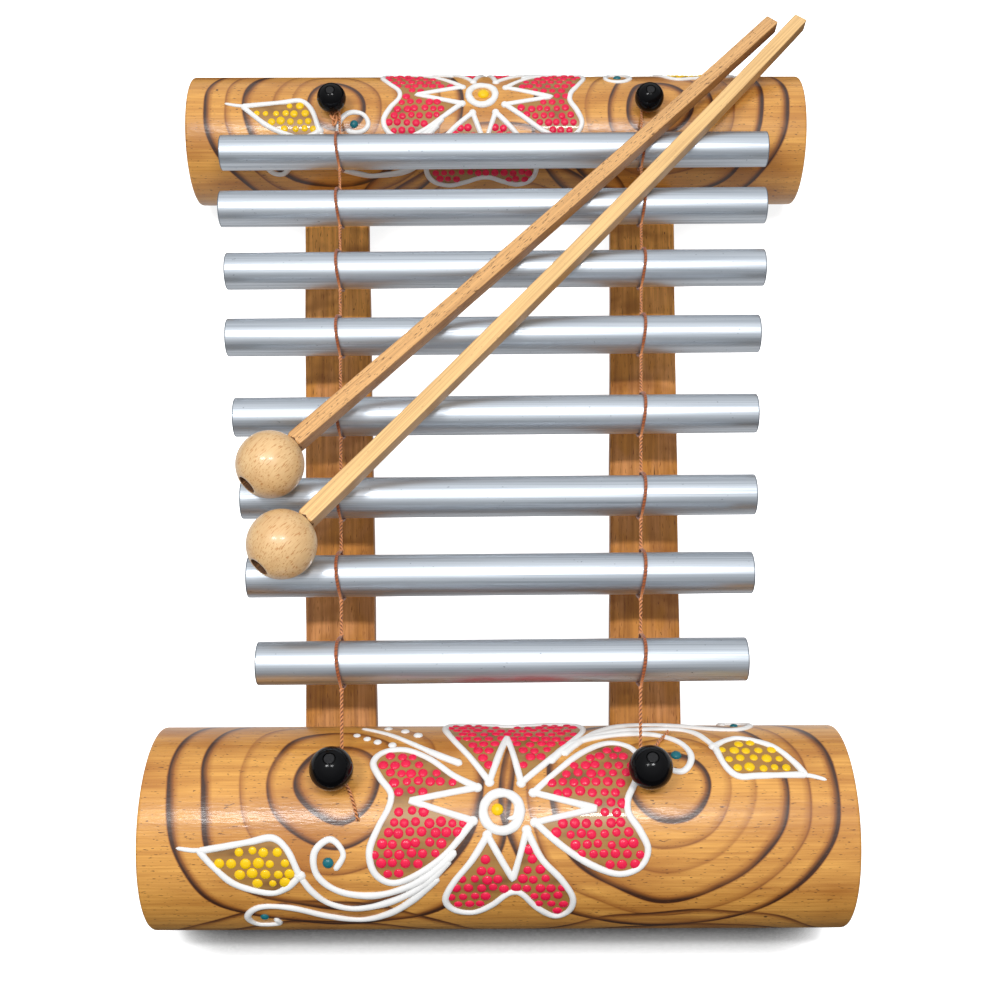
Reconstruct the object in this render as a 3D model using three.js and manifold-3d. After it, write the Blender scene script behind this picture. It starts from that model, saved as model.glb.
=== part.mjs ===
// A hand-made metallophone: two bamboo culms joined by two rails, eight metal tubes strung on two cords
// between four bead knobs, and two ball mallets laid across the row.
// Millimetres. +X is the player's right, +Y points away from the player, +Z is up. The origin is on the
// surface that the instrument stands on, under the middle of the near culm.

import * as THREE from 'three';
import { mergeVertices } from 'three/addons/utils/BufferGeometryUtils.js';
import Module from 'manifold-3d';

const wasm = await Module();
wasm.setup();

// Driving dimensions
const CLEARANCE = 0.3; // gap between pieces that touch

const NEAR_DIAMETER = 73.7;
const NEAR_LENGTH = 252.5;
const FAR_DIAMETER = 61.1;
const FAR_LENGTH = 293.9;
const AXIS_DISTANCE = 337.7; // from one culm's axis to the other's
const CULM_WALL = 7.5;
const CULM_EDGE = 1.2; // eased edge of the sawn ends
const FLAT_DEPTH = 1.5; // planed off the underside, so that a culm doesn't roll

const ROW_SHIFT = -2.6; // beads, rails and cords sit a little left of the culms' middle
const NEAR_SPAN = 111.2; // between the two near beads
const FAR_SPAN = 148.3; // between the two far beads

const RAIL_THICKNESS = 11;
const RAIL_NEAR_WIDTH = 27.1; // at the near culm's axis
const RAIL_FAR_WIDTH = 30.8; // at the far culm's axis
const RAIL_OUTSET = 1.8; // the rails run this far outside the beads
const RAIL_SKEW = 0.9; // the pair lies this far right at the near culm and left at the far one
const RAIL_DROP = 7; // the rails' middle below the culms' axes
const RAIL_PROUD = 5.5; // a rail's end stands this far inside the culm's hollow
const RAIL_EDGE = 0.8;

const NEAR_BEAD_DIAMETER = 15.4;
const FAR_BEAD_DIAMETER = 13.5;
const NEAR_LEAN = 12.5; // degrees from the crest, towards the tubes
const FAR_LEAN = 10.9;
const PEG_DIAMETER = 4;
const PEG_COVER = 1; // culm wall left beyond the peg's end
const PEG_SINK = 0.2; // the peg's end below the bead's top

const CORD_DIAMETER = 1.3; // two strands laid together
const STRAND_DIAMETER = 1.1;
const STRAND_REACH = 1.4; // how far from a tube's strand ring its two strands part
const STRAND_BULGE = 1.1; // how far each strand bows sideways on a tube
const STRAND_EASE = 0.3; // more room round a tube, because the strand is made of straight steps
const CORD_ROOM = 0.5; // room between the cord's loop and the bead above it
// The cords' loose ends lie on the near culm: millimetres right of the bead, and degrees from the crest
const LEFT_TAIL = [[3, 12], [4.8, 9], [7, 1.5], [9.2, -9.7]];
const RIGHT_TAIL = [[-3, 15], [0.8, 25], [4.6, 37], [9.6, 50]];

const TUBE_DIAMETER = 16;
const TUBE_WALL = 1.2;
const TUBE_SKEW = 0.35; // degrees that the tubes' right ends lie further away
const LONGEST_TUBE = 251.4;
const SLIP = 0.5; // a tube has slipped sideways in its cords by a few steps of this
// From the far end: share of the longest length, place along the cord's run from the near beads (0) to the
// far ones (1), and steps of slip
const TUBE_ROW = [
	{ share: 1, station: 0.913, steps: -2 },
	{ share: 0.972, station: 0.809, steps: -3 },
	{ share: 0.931, station: 0.7, steps: -1 },
	{ share: 0.893, station: 0.591, steps: -3 },
	{ share: 0.846, station: 0.468, steps: -1 },
	{ share: 0.803, station: 0.351, steps: 1 },
	{ share: 0.764, station: 0.246, steps: 2 },
	{ share: 0.716, station: 0.137, steps: 3 },
];

const HEAD_DIAMETER = 26;
const HEAD_RIM = 1.2; // flat ring round the bore's open end
const TENON_DIAMETER = 6.8; // the stick's round end in the head
const STICK_WIDTH = 7.2; // at the head
const STICK_TIP_WIDTH = 6.4;
const STICK_CORNER = 0.7; // rounded long edges
const STICK_END_EDGE = 0.4; // eased ends
const STICK_RECESS = 1.6; // the tenon's end inside the head's bore
const STICK_EASE = 0.25; // more room under a stick, which crosses its tube aslant
const REST_TUBE = 'tube_1'; // the tube that both sticks lie on
const HEAD_PAST = 4.1; // a head's middle lies this far beyond the axis of the tube under it
const FAR_MALLET_INSET = 13.7; // from the left end of the tube under its head
const FAR_MALLET_REACH = 333; // from its head's middle to its stick's tip
const FAR_MALLET_BOW = 1.2; // its stick's middle bends this far to the right
const NEAR_MALLET_INSET = 15.4;
const NEAR_MALLET_REACH = 366.5;
const NEAR_MALLET_BOW = 2;
// The tube under each head, the heading from +Y to +X in degrees, and whether the stick rests on a cord
const MALLETS = {
	far: {
		onto: 'tube_6',
		inset: FAR_MALLET_INSET,
		heading: 41.3,
		reach: FAR_MALLET_REACH,
		bow: FAR_MALLET_BOW,
		onCord: true,
	},
	near: {
		onto: 'tube_7',
		inset: NEAR_MALLET_INSET,
		heading: 38.3,
		reach: NEAR_MALLET_REACH,
		bow: NEAR_MALLET_BOW,
		onCord: false,
	},
};

// Smoothness of round faces
const CULM_SIDES = 56;
const TUBE_SIDES = 32;
const BALL_SIDES = 24;
const BALL_RINGS = 10;
const EDGE_STEPS = 1;
const PEG_SIDES = 12;
const CORD_SIDES = 8;
const LOOP_STEPS = 7;
const TAIL_STEPS = 5;
const STICK_STEPS = 8;
const WELD = 1e-4; // vertices closer than this are one

const LEFT = -1;
const RIGHT = 1;

// Sizes that follow from them
const radians = THREE.MathUtils.degToRad;
const { lerp } = THREE.MathUtils;
const tubeRadius = TUBE_DIAMETER / 2;
const cordRadius = CORD_DIAMETER / 2;
const strandRadius = STRAND_DIAMETER / 2;
const ringRadius = PEG_DIAMETER / 2 + CLEARANCE + cordRadius;
const ringHeight = CLEARANCE + cordRadius;
const loopRadius = tubeRadius + CLEARANCE + STRAND_EASE + strandRadius;
const loopReach = loopRadius + STRAND_REACH;
const headRadius = HEAD_DIAMETER / 2;
const headBore = TENON_DIAMETER + 2 * CLEARANCE;
const headMouth = headBore + 2 * HEAD_RIM;

function culmEnd(diameter, length, y, lean, span, beadDiameter) {
	const radius = diameter / 2;
	const beadRadius = beadDiameter / 2;
	const gap = beadRadius + cordRadius + CORD_ROOM;
	return {
		radius,
		length,
		y,
		z: radius - FLAT_DEPTH,
		lean: radians(lean),
		span,
		beadRadius,
		// the bead's middle above the culm's skin leaves room for the cord's loop round the peg
		beadHeight: ringHeight + Math.sqrt(gap * gap - ringRadius * ringRadius),
	};
}

const near = culmEnd(NEAR_DIAMETER, NEAR_LENGTH, 0, NEAR_LEAN, NEAR_SPAN, NEAR_BEAD_DIAMETER);
const far = culmEnd(FAR_DIAMETER, FAR_LENGTH, AXIS_DISTANCE, -FAR_LEAN, FAR_SPAN, FAR_BEAD_DIAMETER);

function finish(color, roughness, metalness) {
	return new THREE.MeshStandardMaterial({ color, roughness, metalness });
}

const bamboo = finish('#c88f4c', 0.35, 0);
const railWood = finish('#a06c38', 0.5, 0);
const aluminium = finish('#b7bcc3', 0.35, 1);
const blackLacquer = finish('#0b0b0d', 0.12, 0);
const stainedPeg = finish('#2a2826', 0.4, 0);
const copperCord = finish('#a8603a', 0.6, 0);
const beech = finish('#dcb684', 0.4, 0);
const darkStick = finish('#bf8850', 0.5, 0);
const paleStick = finish('#d8ad70', 0.5, 0);

function named(name, geometry, material) {
	const mesh = new THREE.Mesh(geometry, material);
	mesh.name = name;
	return mesh;
}

// Booleans

function solid(geometry) {
	const bare = geometry.clone();
	bare.deleteAttribute('normal');
	bare.deleteAttribute('uv');
	const merged = mergeVertices(bare, WELD);
	return new wasm.Manifold(new wasm.Mesh({
		numProp: 3,
		vertProperties: new Float32Array(merged.attributes.position.array),
		triVerts: new Uint32Array(merged.index.array),
	}));
}

function toGeometry(body) {
	const mesh = body.getMesh();
	const geometry = new THREE.BufferGeometry();
	geometry.setAttribute('position', new THREE.BufferAttribute(new Float32Array(mesh.vertProperties), 3));
	geometry.setIndex(new THREE.BufferAttribute(new Uint32Array(mesh.triVerts), 1));
	geometry.computeVertexNormals();
	return geometry;
}

// Shapes

function circle(radius, hole) {
	const shape = new THREE.Shape();
	shape.absarc(0, 0, radius, 0, 2 * Math.PI, false);
	if (hole) {
		const bore = new THREE.Path();
		bore.absarc(0, 0, hole, 0, 2 * Math.PI, true);
		shape.holes.push(bore);
	}
	return shape;
}

// A section drawn in Y and Z, carried along X and centred there, with eased ends
function alongX(shape, length, edge, sides) {
	const depth = length - 2 * edge;
	const geometry = new THREE.ExtrudeGeometry(shape, {
		depth,
		bevelEnabled: edge > 0,
		bevelThickness: edge,
		bevelSize: edge,
		bevelOffset: -edge,
		bevelSegments: EDGE_STEPS,
		curveSegments: sides / 2,
	});
	geometry.translate(0, 0, -depth / 2);
	const turn = new THREE.Matrix4().makeBasis(
		new THREE.Vector3(0, 1, 0), new THREE.Vector3(0, 0, 1), new THREE.Vector3(1, 0, 0));
	return geometry.applyMatrix4(turn);
}

// A ball about the origin with a bore along Y; its lower end may be cut flat to a mouth's diameter
function boredBall(radius, bore, mouth) {
	const flatRadius = mouth ? mouth / 2 : bore / 2;
	const start = -Math.acos(flatRadius / radius);
	const end = Math.acos(bore / 2 / radius);
	const profile = [];
	if (mouth) {
		profile.push(new THREE.Vector2(bore / 2, radius * Math.sin(start)));
	}
	for (let i = 0; i <= BALL_RINGS; i++) {
		const angle = lerp(start, end, i / BALL_RINGS);
		profile.push(new THREE.Vector2(radius * Math.cos(angle), radius * Math.sin(angle)));
	}
	profile.push(profile[0].clone());
	return new THREE.LatheGeometry(profile, BALL_SIDES);
}

function roundTube(curve, radius, steps) {
	return new THREE.ExtrudeGeometry(circle(radius), {
		extrudePath: curve,
		steps,
		curveSegments: CORD_SIDES / 2,
	});
}

// Culms

// The frame of a bead's peg: Y runs out of the culm along the peg, from the culm's axis
function pegFrame(end, side) {
	const frame = new THREE.Group();
	frame.position.set(ROW_SHIFT + side * end.span / 2, end.y, end.z);
	frame.rotation.x = Math.PI / 2 - end.lean;
	frame.updateMatrix();
	return frame;
}

function pegHole(end, side) {
	const radius = PEG_DIAMETER / 2 + CLEARANCE;
	const hole = new THREE.CylinderGeometry(radius, radius, 2 * CULM_WALL, PEG_SIDES);
	hole.translate(0, end.radius - CULM_WALL / 2, 0);
	return hole.applyMatrix4(pegFrame(end, side).matrix);
}

function culm(end) {
	const flat = Math.acos((end.radius - FLAT_DEPTH) / end.radius);
	const section = new THREE.Shape();
	section.absarc(0, 0, end.radius, -Math.PI / 2 + flat, 1.5 * Math.PI - flat, false);
	const hollow = new THREE.Path();
	hollow.absarc(0, 0, end.radius - CULM_WALL, 0, 2 * Math.PI, true);
	section.holes.push(hollow);
	const blank = alongX(section, end.length, CULM_EDGE, CULM_SIDES);
	blank.translate(0, end.y, end.z);
	let body = solid(blank);
	for (const side of [LEFT, RIGHT]) {
		body = body.subtract(solid(pegHole(end, side)));
		body = body.subtract(solid(rail(side, CLEARANCE)));
	}
	return toGeometry(body);
}

// Rails

const railSlope = Math.atan2(far.z - near.z, AXIS_DISTANCE);

// A rail from one culm's hollow to the other's or, grown on all sides, the cutter of its mortises
function rail(side, grow = 0) {
	const inset = CULM_WALL + RAIL_PROUD;
	const corner = (y, edge) => {
		const share = y / AXIS_DISTANCE;
		const pair = ROW_SHIFT + lerp(RAIL_SKEW, -RAIL_SKEW, share);
		const middle = pair + side * (lerp(near.span, far.span, share) / 2 + RAIL_OUTSET);
		return new THREE.Vector2(middle + edge * (lerp(RAIL_NEAR_WIDTH, RAIL_FAR_WIDTH, share) / 2 + grow), y);
	};
	const nearEnd = near.radius - inset;
	const farEnd = AXIS_DISTANCE - far.radius + inset;
	const plan = new THREE.Shape([
		corner(nearEnd, LEFT), corner(nearEnd, RIGHT), corner(farEnd, RIGHT), corner(farEnd, LEFT)]);
	const edge = grow ? 0 : RAIL_EDGE;
	const geometry = new THREE.ExtrudeGeometry(plan, {
		depth: RAIL_THICKNESS + 2 * grow - 2 * edge,
		bevelEnabled: edge > 0,
		bevelThickness: edge,
		bevelSize: edge,
		bevelOffset: -edge,
		bevelSegments: EDGE_STEPS,
	});
	geometry.translate(0, 0, edge - grow - RAIL_THICKNESS / 2);
	return geometry.rotateX(railSlope).translate(0, near.y, near.z - RAIL_DROP);
}

// Cords and tubes

// The cord leaves the inner side of its loop round each peg and runs straight from one peg to the other
function cordEnd(end, side) {
	const reach = end.radius + ringHeight;
	return new THREE.Vector3(
		ROW_SHIFT + side * (end.span / 2 - ringRadius),
		end.y + reach * Math.sin(end.lean),
		end.z + reach * Math.cos(end.lean));
}

const cordRun = (side) => new THREE.LineCurve3(cordEnd(near, side), cordEnd(far, side));

const tubes = TUBE_ROW.map(({ share, station, steps }, index) => {
	const middle = cordRun(RIGHT).getPoint(station);
	const name = `tube_${index + 1}`;
	return { name, length: share * LONGEST_TUBE, x: steps * SLIP, y: middle.y, z: middle.z };
});
const axisY = (tube, x) => tube.y + (x - tube.x) * Math.tan(radians(TUBE_SKEW));

function tubeMesh(tube) {
	const section = circle(tubeRadius, tubeRadius - TUBE_WALL);
	const mesh = named(tube.name, alongX(section, tube.length, 0, TUBE_SIDES), aluminium);
	mesh.position.set(tube.x, tube.y, tube.z);
	mesh.rotation.z = radians(TUBE_SKEW);
	return mesh;
}

// One strand's way past a tube: straight up to the strand ring, round it, and straight on
class StrandLoop extends THREE.Curve {
	constructor(centre, along, over, bow) {
		super();
		const up = new THREE.Vector3(0, 0, 1);
		this.centre = centre;
		this.along = along;
		this.across = new THREE.Vector3().crossVectors(along, up).normalize();
		this.up = new THREE.Vector3().crossVectors(this.across, along).multiplyScalar(over);
		this.bow = bow;
		this.part = Math.acos(loopRadius / loopReach);
		this.straight = Math.sqrt(loopReach * loopReach - loopRadius * loopRadius);
		this.arc = loopRadius * (Math.PI - 2 * this.part);
	}

	getPoint(t, target = new THREE.Vector3()) {
		const gone = t * (2 * this.straight + this.arc);
		const back = t > 0.5;
		const way = back ? 2 * this.straight + this.arc - gone : gone;
		const flat = new THREE.Vector2(loopRadius * Math.cos(this.part), loopRadius * Math.sin(this.part));
		if (way < this.straight) {
			flat.lerp(new THREE.Vector2(loopReach, 0), 1 - way / this.straight);
		} else {
			const angle = this.part + (way - this.straight) / loopRadius;
			flat.set(loopRadius * Math.cos(angle), loopRadius * Math.sin(angle));
		}
		return target.copy(this.centre)
			.addScaledVector(this.along, back ? flat.x : -flat.x)
			.addScaledVector(this.up, flat.y)
			.addScaledVector(this.across, this.bow * Math.sin(Math.PI * t));
	}
}

function tailCurve(side) {
	const reach = near.radius + ringHeight;
	const route = side === LEFT ? LEFT_TAIL : RIGHT_TAIL;
	return new THREE.CatmullRomCurve3(route.map(([offset, lean]) => new THREE.Vector3(
		ROW_SHIFT + side * near.span / 2 + offset,
		near.y + reach * Math.sin(radians(lean)),
		near.z + reach * Math.cos(radians(lean)))));
}

function cord(side) {
	const run = cordRun(side);
	const along = run.getTangent(0);
	const rings = [near, far].map((end) => {
		const ring = new THREE.TorusGeometry(ringRadius, cordRadius, CORD_SIDES, 2 * CORD_SIDES);
		ring.rotateX(Math.PI / 2).translate(0, end.radius + ringHeight, 0);
		return ring.applyMatrix4(pegFrame(end, side).matrix);
	});
	const pieces = [...rings, roundTube(tailCurve(side), cordRadius, TAIL_STEPS)];
	// nearest tube first, with the straight cord between one tube's strands and the next's
	const overlap = strandRadius / 2;
	let from = run.v1;
	for (const tube of [...tubes].reverse()) {
		const share = (axisY(tube, run.v1.x) - run.v1.y) / (run.v2.y - run.v1.y);
		const centre = run.getPoint(share);
		for (const over of [1, -1]) {
			const strand = new StrandLoop(centre, along, over, side * over * STRAND_BULGE);
			pieces.push(roundTube(strand, strandRadius, LOOP_STEPS));
		}
		const to = centre.clone().addScaledVector(along, overlap - loopReach);
		pieces.push(roundTube(new THREE.LineCurve3(from, to), cordRadius, 1));
		from = centre.clone().addScaledVector(along, loopReach - overlap);
	}
	pieces.push(roundTube(new THREE.LineCurve3(from, run.v2), cordRadius, 1));
	return toGeometry(pieces.map(solid).reduce((whole, next) => whole.add(next)));
}

// Knobs

function knob(end, side, name) {
	const frame = pegFrame(end, side);
	const beadMiddle = end.radius + end.beadHeight;
	const bead = named(`${name}_bead`, boredBall(end.beadRadius, PEG_DIAMETER + 2 * CLEARANCE), blackLacquer);
	bead.position.y = beadMiddle;
	const bottom = end.radius - CULM_WALL + PEG_COVER;
	const top = beadMiddle + end.beadRadius - PEG_SINK;
	const radius = PEG_DIAMETER / 2;
	const pin = new THREE.CylinderGeometry(radius, radius, top - bottom, PEG_SIDES);
	const peg = named(`${name}_peg`, pin, stainedPeg);
	peg.position.y = (bottom + top) / 2;
	frame.add(bead, peg);
	return frame;
}

// Mallets

// A square bar that bends to its right and thins towards its tip, with a round tenon for the head
function stickGeometry(reach, bow) {
	const half = STICK_WIDTH / 2;
	const inner = half - STICK_CORNER;
	const section = new THREE.Shape();
	section.absarc(inner, inner, STICK_CORNER, 0, Math.PI / 2, false);
	section.absarc(-inner, inner, STICK_CORNER, Math.PI / 2, Math.PI, false);
	section.absarc(-inner, -inner, STICK_CORNER, Math.PI, 1.5 * Math.PI, false);
	section.absarc(inner, -inner, STICK_CORNER, 1.5 * Math.PI, 2 * Math.PI, false);
	const shoulder = CLEARANCE + Math.sqrt(headRadius * headRadius - headBore * headBore / 4);
	const bar = new THREE.ExtrudeGeometry(section, {
		depth: reach - shoulder - 2 * STICK_END_EDGE,
		steps: STICK_STEPS,
		bevelThickness: STICK_END_EDGE,
		bevelSize: STICK_END_EDGE,
		bevelOffset: -STICK_END_EDGE,
		bevelSegments: EDGE_STEPS,
		curveSegments: 2,
	});
	bar.translate(0, 0, shoulder + STICK_END_EDGE).rotateX(-Math.PI / 2);
	const points = bar.attributes.position;
	for (let i = 0; i < points.count; i++) {
		const share = (points.getY(i) - shoulder) / (reach - shoulder);
		const thin = lerp(1, STICK_TIP_WIDTH / STICK_WIDTH, share);
		points.setX(i, thin * points.getX(i) + 4 * bow * share * (1 - share));
		points.setZ(i, thin * points.getZ(i));
	}
	const start = STICK_RECESS - Math.sqrt(headRadius * headRadius - headMouth * headMouth / 4);
	const end = shoulder + half;
	const radius = TENON_DIAMETER / 2;
	const tenon = new THREE.CylinderGeometry(radius, radius, end - start, PEG_SIDES);
	tenon.translate(0, (start + end) / 2, 0);
	return toGeometry(solid(bar).add(solid(tenon)));
}

// A mallet's head lies on one tube and its stick on another, so the stick slopes down towards its tip
function mallet(name, { onto, inset, heading, reach, bow, onCord }, stickFinish) {
	const under = tubes.find((tube) => tube.name === onto);
	const rest = tubes.find((tube) => tube.name === REST_TUBE);
	const seat = tubeRadius + headRadius + CLEARANCE;
	const x = under.x - under.length / 2 + inset;
	const y = axisY(under, x) + HEAD_PAST;
	const z = under.z + Math.sqrt(seat * seat - HEAD_PAST * HEAD_PAST);
	const turn = radians(heading);
	const level = new THREE.Vector3(Math.sin(turn), Math.cos(turn), 0);
	const run = (axisY(rest, x) - y) / (level.y - level.x * Math.tan(radians(TUBE_SKEW)));
	const packing = onCord ? STRAND_DIAMETER + STRAND_EASE + CLEARANCE : 0;
	const restWidth = lerp(STICK_WIDTH, STICK_TIP_WIDTH, run / reach);
	const restZ = rest.z + tubeRadius + CLEARANCE + STICK_EASE + packing + restWidth / 2;
	const dip = Math.atan2(z - restZ, run);
	const along = level.clone().multiplyScalar(Math.cos(dip)).setZ(-Math.sin(dip));
	const top = level.clone().multiplyScalar(Math.sin(dip)).setZ(Math.cos(dip));
	const across = new THREE.Vector3().crossVectors(along, top);

	const head = named(`${name}_mallet_head`, boredBall(headRadius, headBore, headMouth), beech);
	const stick = named(`${name}_mallet_stick`, stickGeometry(reach, bow), stickFinish);
	const group = new THREE.Group();
	group.position.set(x, y, z);
	group.setRotationFromMatrix(new THREE.Matrix4().makeBasis(across, along, top));
	group.add(head, stick);
	return group;
}

// The whole instrument

const metallophone = new THREE.Group();
metallophone.add(
	named('near_culm', culm(near), bamboo),
	named('far_culm', culm(far), bamboo),
	named('left_rail', rail(LEFT), railWood),
	named('right_rail', rail(RIGHT), railWood),
	named('left_cord', cord(LEFT), copperCord),
	named('right_cord', cord(RIGHT), copperCord),
	...tubes.map((tube) => tubeMesh(tube)),
	knob(near, LEFT, 'near_left'),
	knob(near, RIGHT, 'near_right'),
	knob(far, LEFT, 'far_left'),
	knob(far, RIGHT, 'far_right'),
	mallet('far', MALLETS.far, darkStick),
	mallet('near', MALLETS.near, paleStick),
);

export default metallophone;
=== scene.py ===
"""A hand-made metallophone: painted bamboo culms, rails, tubes on twisted cords, knobs and ball mallets."""

from dataclasses import dataclass

import bpy
import numpy as np
from bpy.props import FloatProperty, FloatVectorProperty, PointerProperty
from mathutils import Matrix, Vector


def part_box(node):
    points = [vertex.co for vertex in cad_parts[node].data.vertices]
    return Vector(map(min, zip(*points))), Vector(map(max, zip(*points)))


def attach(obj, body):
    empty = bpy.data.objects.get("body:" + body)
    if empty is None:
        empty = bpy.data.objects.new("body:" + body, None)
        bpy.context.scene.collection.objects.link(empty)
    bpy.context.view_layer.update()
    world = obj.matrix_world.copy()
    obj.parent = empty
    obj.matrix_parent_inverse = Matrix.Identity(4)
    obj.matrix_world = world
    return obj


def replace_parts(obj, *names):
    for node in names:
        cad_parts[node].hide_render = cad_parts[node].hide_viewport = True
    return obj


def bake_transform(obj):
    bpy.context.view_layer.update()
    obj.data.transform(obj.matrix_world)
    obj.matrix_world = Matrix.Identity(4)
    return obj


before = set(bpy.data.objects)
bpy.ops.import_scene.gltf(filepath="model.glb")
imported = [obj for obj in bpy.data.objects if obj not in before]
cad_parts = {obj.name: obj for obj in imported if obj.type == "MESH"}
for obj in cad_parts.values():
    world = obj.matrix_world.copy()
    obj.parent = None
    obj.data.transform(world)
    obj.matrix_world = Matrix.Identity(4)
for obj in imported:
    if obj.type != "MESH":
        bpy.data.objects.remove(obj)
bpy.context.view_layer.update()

bl_info = {
    "name": "Bamboo metallophone",
    "version": (1, 0, 0),
    "blender": (4, 5, 0),
    "location": "3D View > Sidebar > Metallophone",
    "description": "Dresses the solids of a hand-made metallophone: painted bamboo, tubes, cords and mallets",
    "category": "Object",
}

MM = 0.001
FRAME_BODY = "frame"
TUBES = [f"tube_{number}" for number in range(1, 9)]
SIDES = {"left": -1, "right": 1}
UP = np.array([0.0, 0.0, 1.0])


def linear(hex_colour):
    """Turns an sRGB hex colour into linear red, green, blue and alpha."""
    srgb = np.array([int(hex_colour[i : i + 2], 16) for i in (1, 3, 5)]) / 255
    light = np.where(srgb <= 0.04045, srgb / 12.92, ((srgb + 0.055) / 1.055) ** 2.4)
    return (*light.tolist(), 1.0)


def length(name, description, millimetres):
    """A size that a user can change, given in millimetres."""
    return FloatProperty(
        name=name, description=description, default=millimetres * MM, precision=5, unit="LENGTH"
    )


def colour(name, description, hex_colour):
    """A colour that a user can change, given as an sRGB hex value."""
    return FloatVectorProperty(
        name=name, description=description, default=linear(hex_colour), size=4, subtype="COLOR", min=0, max=1
    )


def location(name, description, metres):
    """A point that a user can move, given in metres."""
    return FloatVectorProperty(name=name, description=description, default=metres, subtype="TRANSLATION")


def tilt(name, description, degrees):
    """An angle that a user can change, given in degrees."""
    return FloatProperty(name=name, description=description, default=np.radians(degrees), subtype="ANGLE")


def brightness(name, description, value):
    """A brightness that a user can change; 1 is white."""
    return FloatProperty(
        name=name, description=description, default=value, min=0, soft_max=2, subtype="FACTOR"
    )


# Settings


class CulmSettings(bpy.types.PropertyGroup):
    """Sizes and colours of the bamboo culms and the knobs on them."""

    wall: length("Wall", "Thickness of a culm's wall", 7.5)
    edge: length("Sawn edge", "Rounding of a culm's sawn edges", 1.3)
    peg_edge: length("Peg edge", "Rounding of a peg's end", 0.5)
    bead_lip: length("Bead lip", "Gap between a peg and the bead round it", 0.25)
    honey: colour("Honey", "Pale fibres of the varnished bamboo", "#e6a851")
    amber: colour("Amber", "Dark fibres of the varnished bamboo", "#a3601d")
    toast: colour("Toast", "Brown fringe of the flame-burnt rings", "#9a5a20")
    scorch: colour("Scorch", "Dark core of the flame-burnt rings", "#33170b")
    pore: colour("Pores", "Short open pores in the skin", "#5d3617")
    cut: colour("Cut bamboo", "Sawn ends and the inside", "#c9a468")
    lacquer: colour("Bead lacquer", "Black lacquer of the beads", "#08080a")
    peg: colour("Peg", "Ends of the pegs", "#1b1a1c")


class PaintSettings(bpy.types.PropertyGroup):
    """Sizes and colours of the painted sprays."""

    line_width: length("Line width", "Width of a squeezed white line", 2.5)
    line_height: length("Line height", "Height of a squeezed white line", 1.0)
    dot_diameter: length("Dot", "Usual diameter of a petal dot", 3.7)
    dot_spacing: length("Dot spacing", "Usual distance between dots", 4.1)
    white: colour("White", "Lines and small dots", "#eeedeb")
    crimson: colour("Crimson", "Petal dots", "#ea1648")
    yellow: colour("Yellow", "Leaf dots and flower eyes", "#f4c600")
    teal: colour("Teal", "Dots in the curls", "#0f6873")
    wash: colour("Wash", "Thin brown ground under the dots", "#a17a3e")


class RowSettings(bpy.types.PropertyGroup):
    """Sizes and colours of the rails, tubes and cords."""

    rail_edge: length("Rail edge", "Rounding of a rail's long edges", 1.0)
    rail_crown: length("Rail crown", "How far a rail's top sinks from its middle to its sides", 1.2)
    tube_wall: length("Tube wall", "Thickness of a tube's wall", 1.2)
    tube_edge: length("Tube edge", "Rounding of a tube's cut ends", 0.5)
    ply_diameter: length("Ply", "Thickness of one ply of the cord between tubes", 0.66)
    strand_diameter: length("Strand", "Thickness of the strand that passes a tube", 1.3)
    ply_turn: length("Turn", "Length of one full turn of the cord", 3.2)
    rail_wood: colour("Rail", "Brown wood of the rails", "#c48238")
    rail_blush: colour("Rail blush", "Paler patches of the rails", "#d4935a")
    # Painted light: a paler colour laid on the rails' far ends, which lie in shade
    rail_painted_light: colour("Pale rail", "The rails' far ends, which took less stain", "#ffb65c")
    rail_grain: colour("Rail grain", "Dark grain of the rails", "#80491a")
    rail_crack: colour("Rail cracks", "Cracks and knots of the rails", "#2f1a0b")
    metal: colour("Aluminium", "Drawn aluminium of the tubes", "#c9cfd6")
    sawn_metal: colour("Cut aluminium", "Sawn ends of the tubes", "#7f8892")
    cord: colour("Cord", "Copper-brown waxed cord", "#d58a54")
    cord_taut: colour("Taut cord", "The cord where it is drawn over a tube", "#ab5a2a")
    # Painted shade: the colour laid in the cord's creases
    cord_crease_shade: colour("Cord crease", "Hollows between the cord's fibres", "#5f2d10")


class MalletSettings(bpy.types.PropertyGroup):
    """Sizes and colours of the mallets."""

    rim: length("Rim", "Flat ring round the bore's open end", 1.2)
    stick_edge: length("Stick edge", "Rounding of a stick's long edges", 0.45)
    beech: colour("Beech", "Turned beech of the heads", "#e6c08a")
    ray: colour("Beech rays", "Short darker flecks in the beech", "#bd8044")
    # Painted shade: the dark colour of the bore and of the tenon in it
    bore: colour("Bore", "Raw wood of the bore and of the tenon in it", "#5a3a20")
    dark_stick: colour("Dark stick", "Wood of the far mallet's stick", "#e2ae70")
    pale_stick: colour("Pale stick", "Wood of the near mallet's stick", "#f2c685")
    # This colour is also the painted shade on the sticks' flanks
    stick_grain_and_shade: colour("Stick grain", "Dark grain lines of both sticks", "#8a5426")
    stick_pore: colour("Stick pores", "Short open pores of the sticks", "#5b3416")


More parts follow.
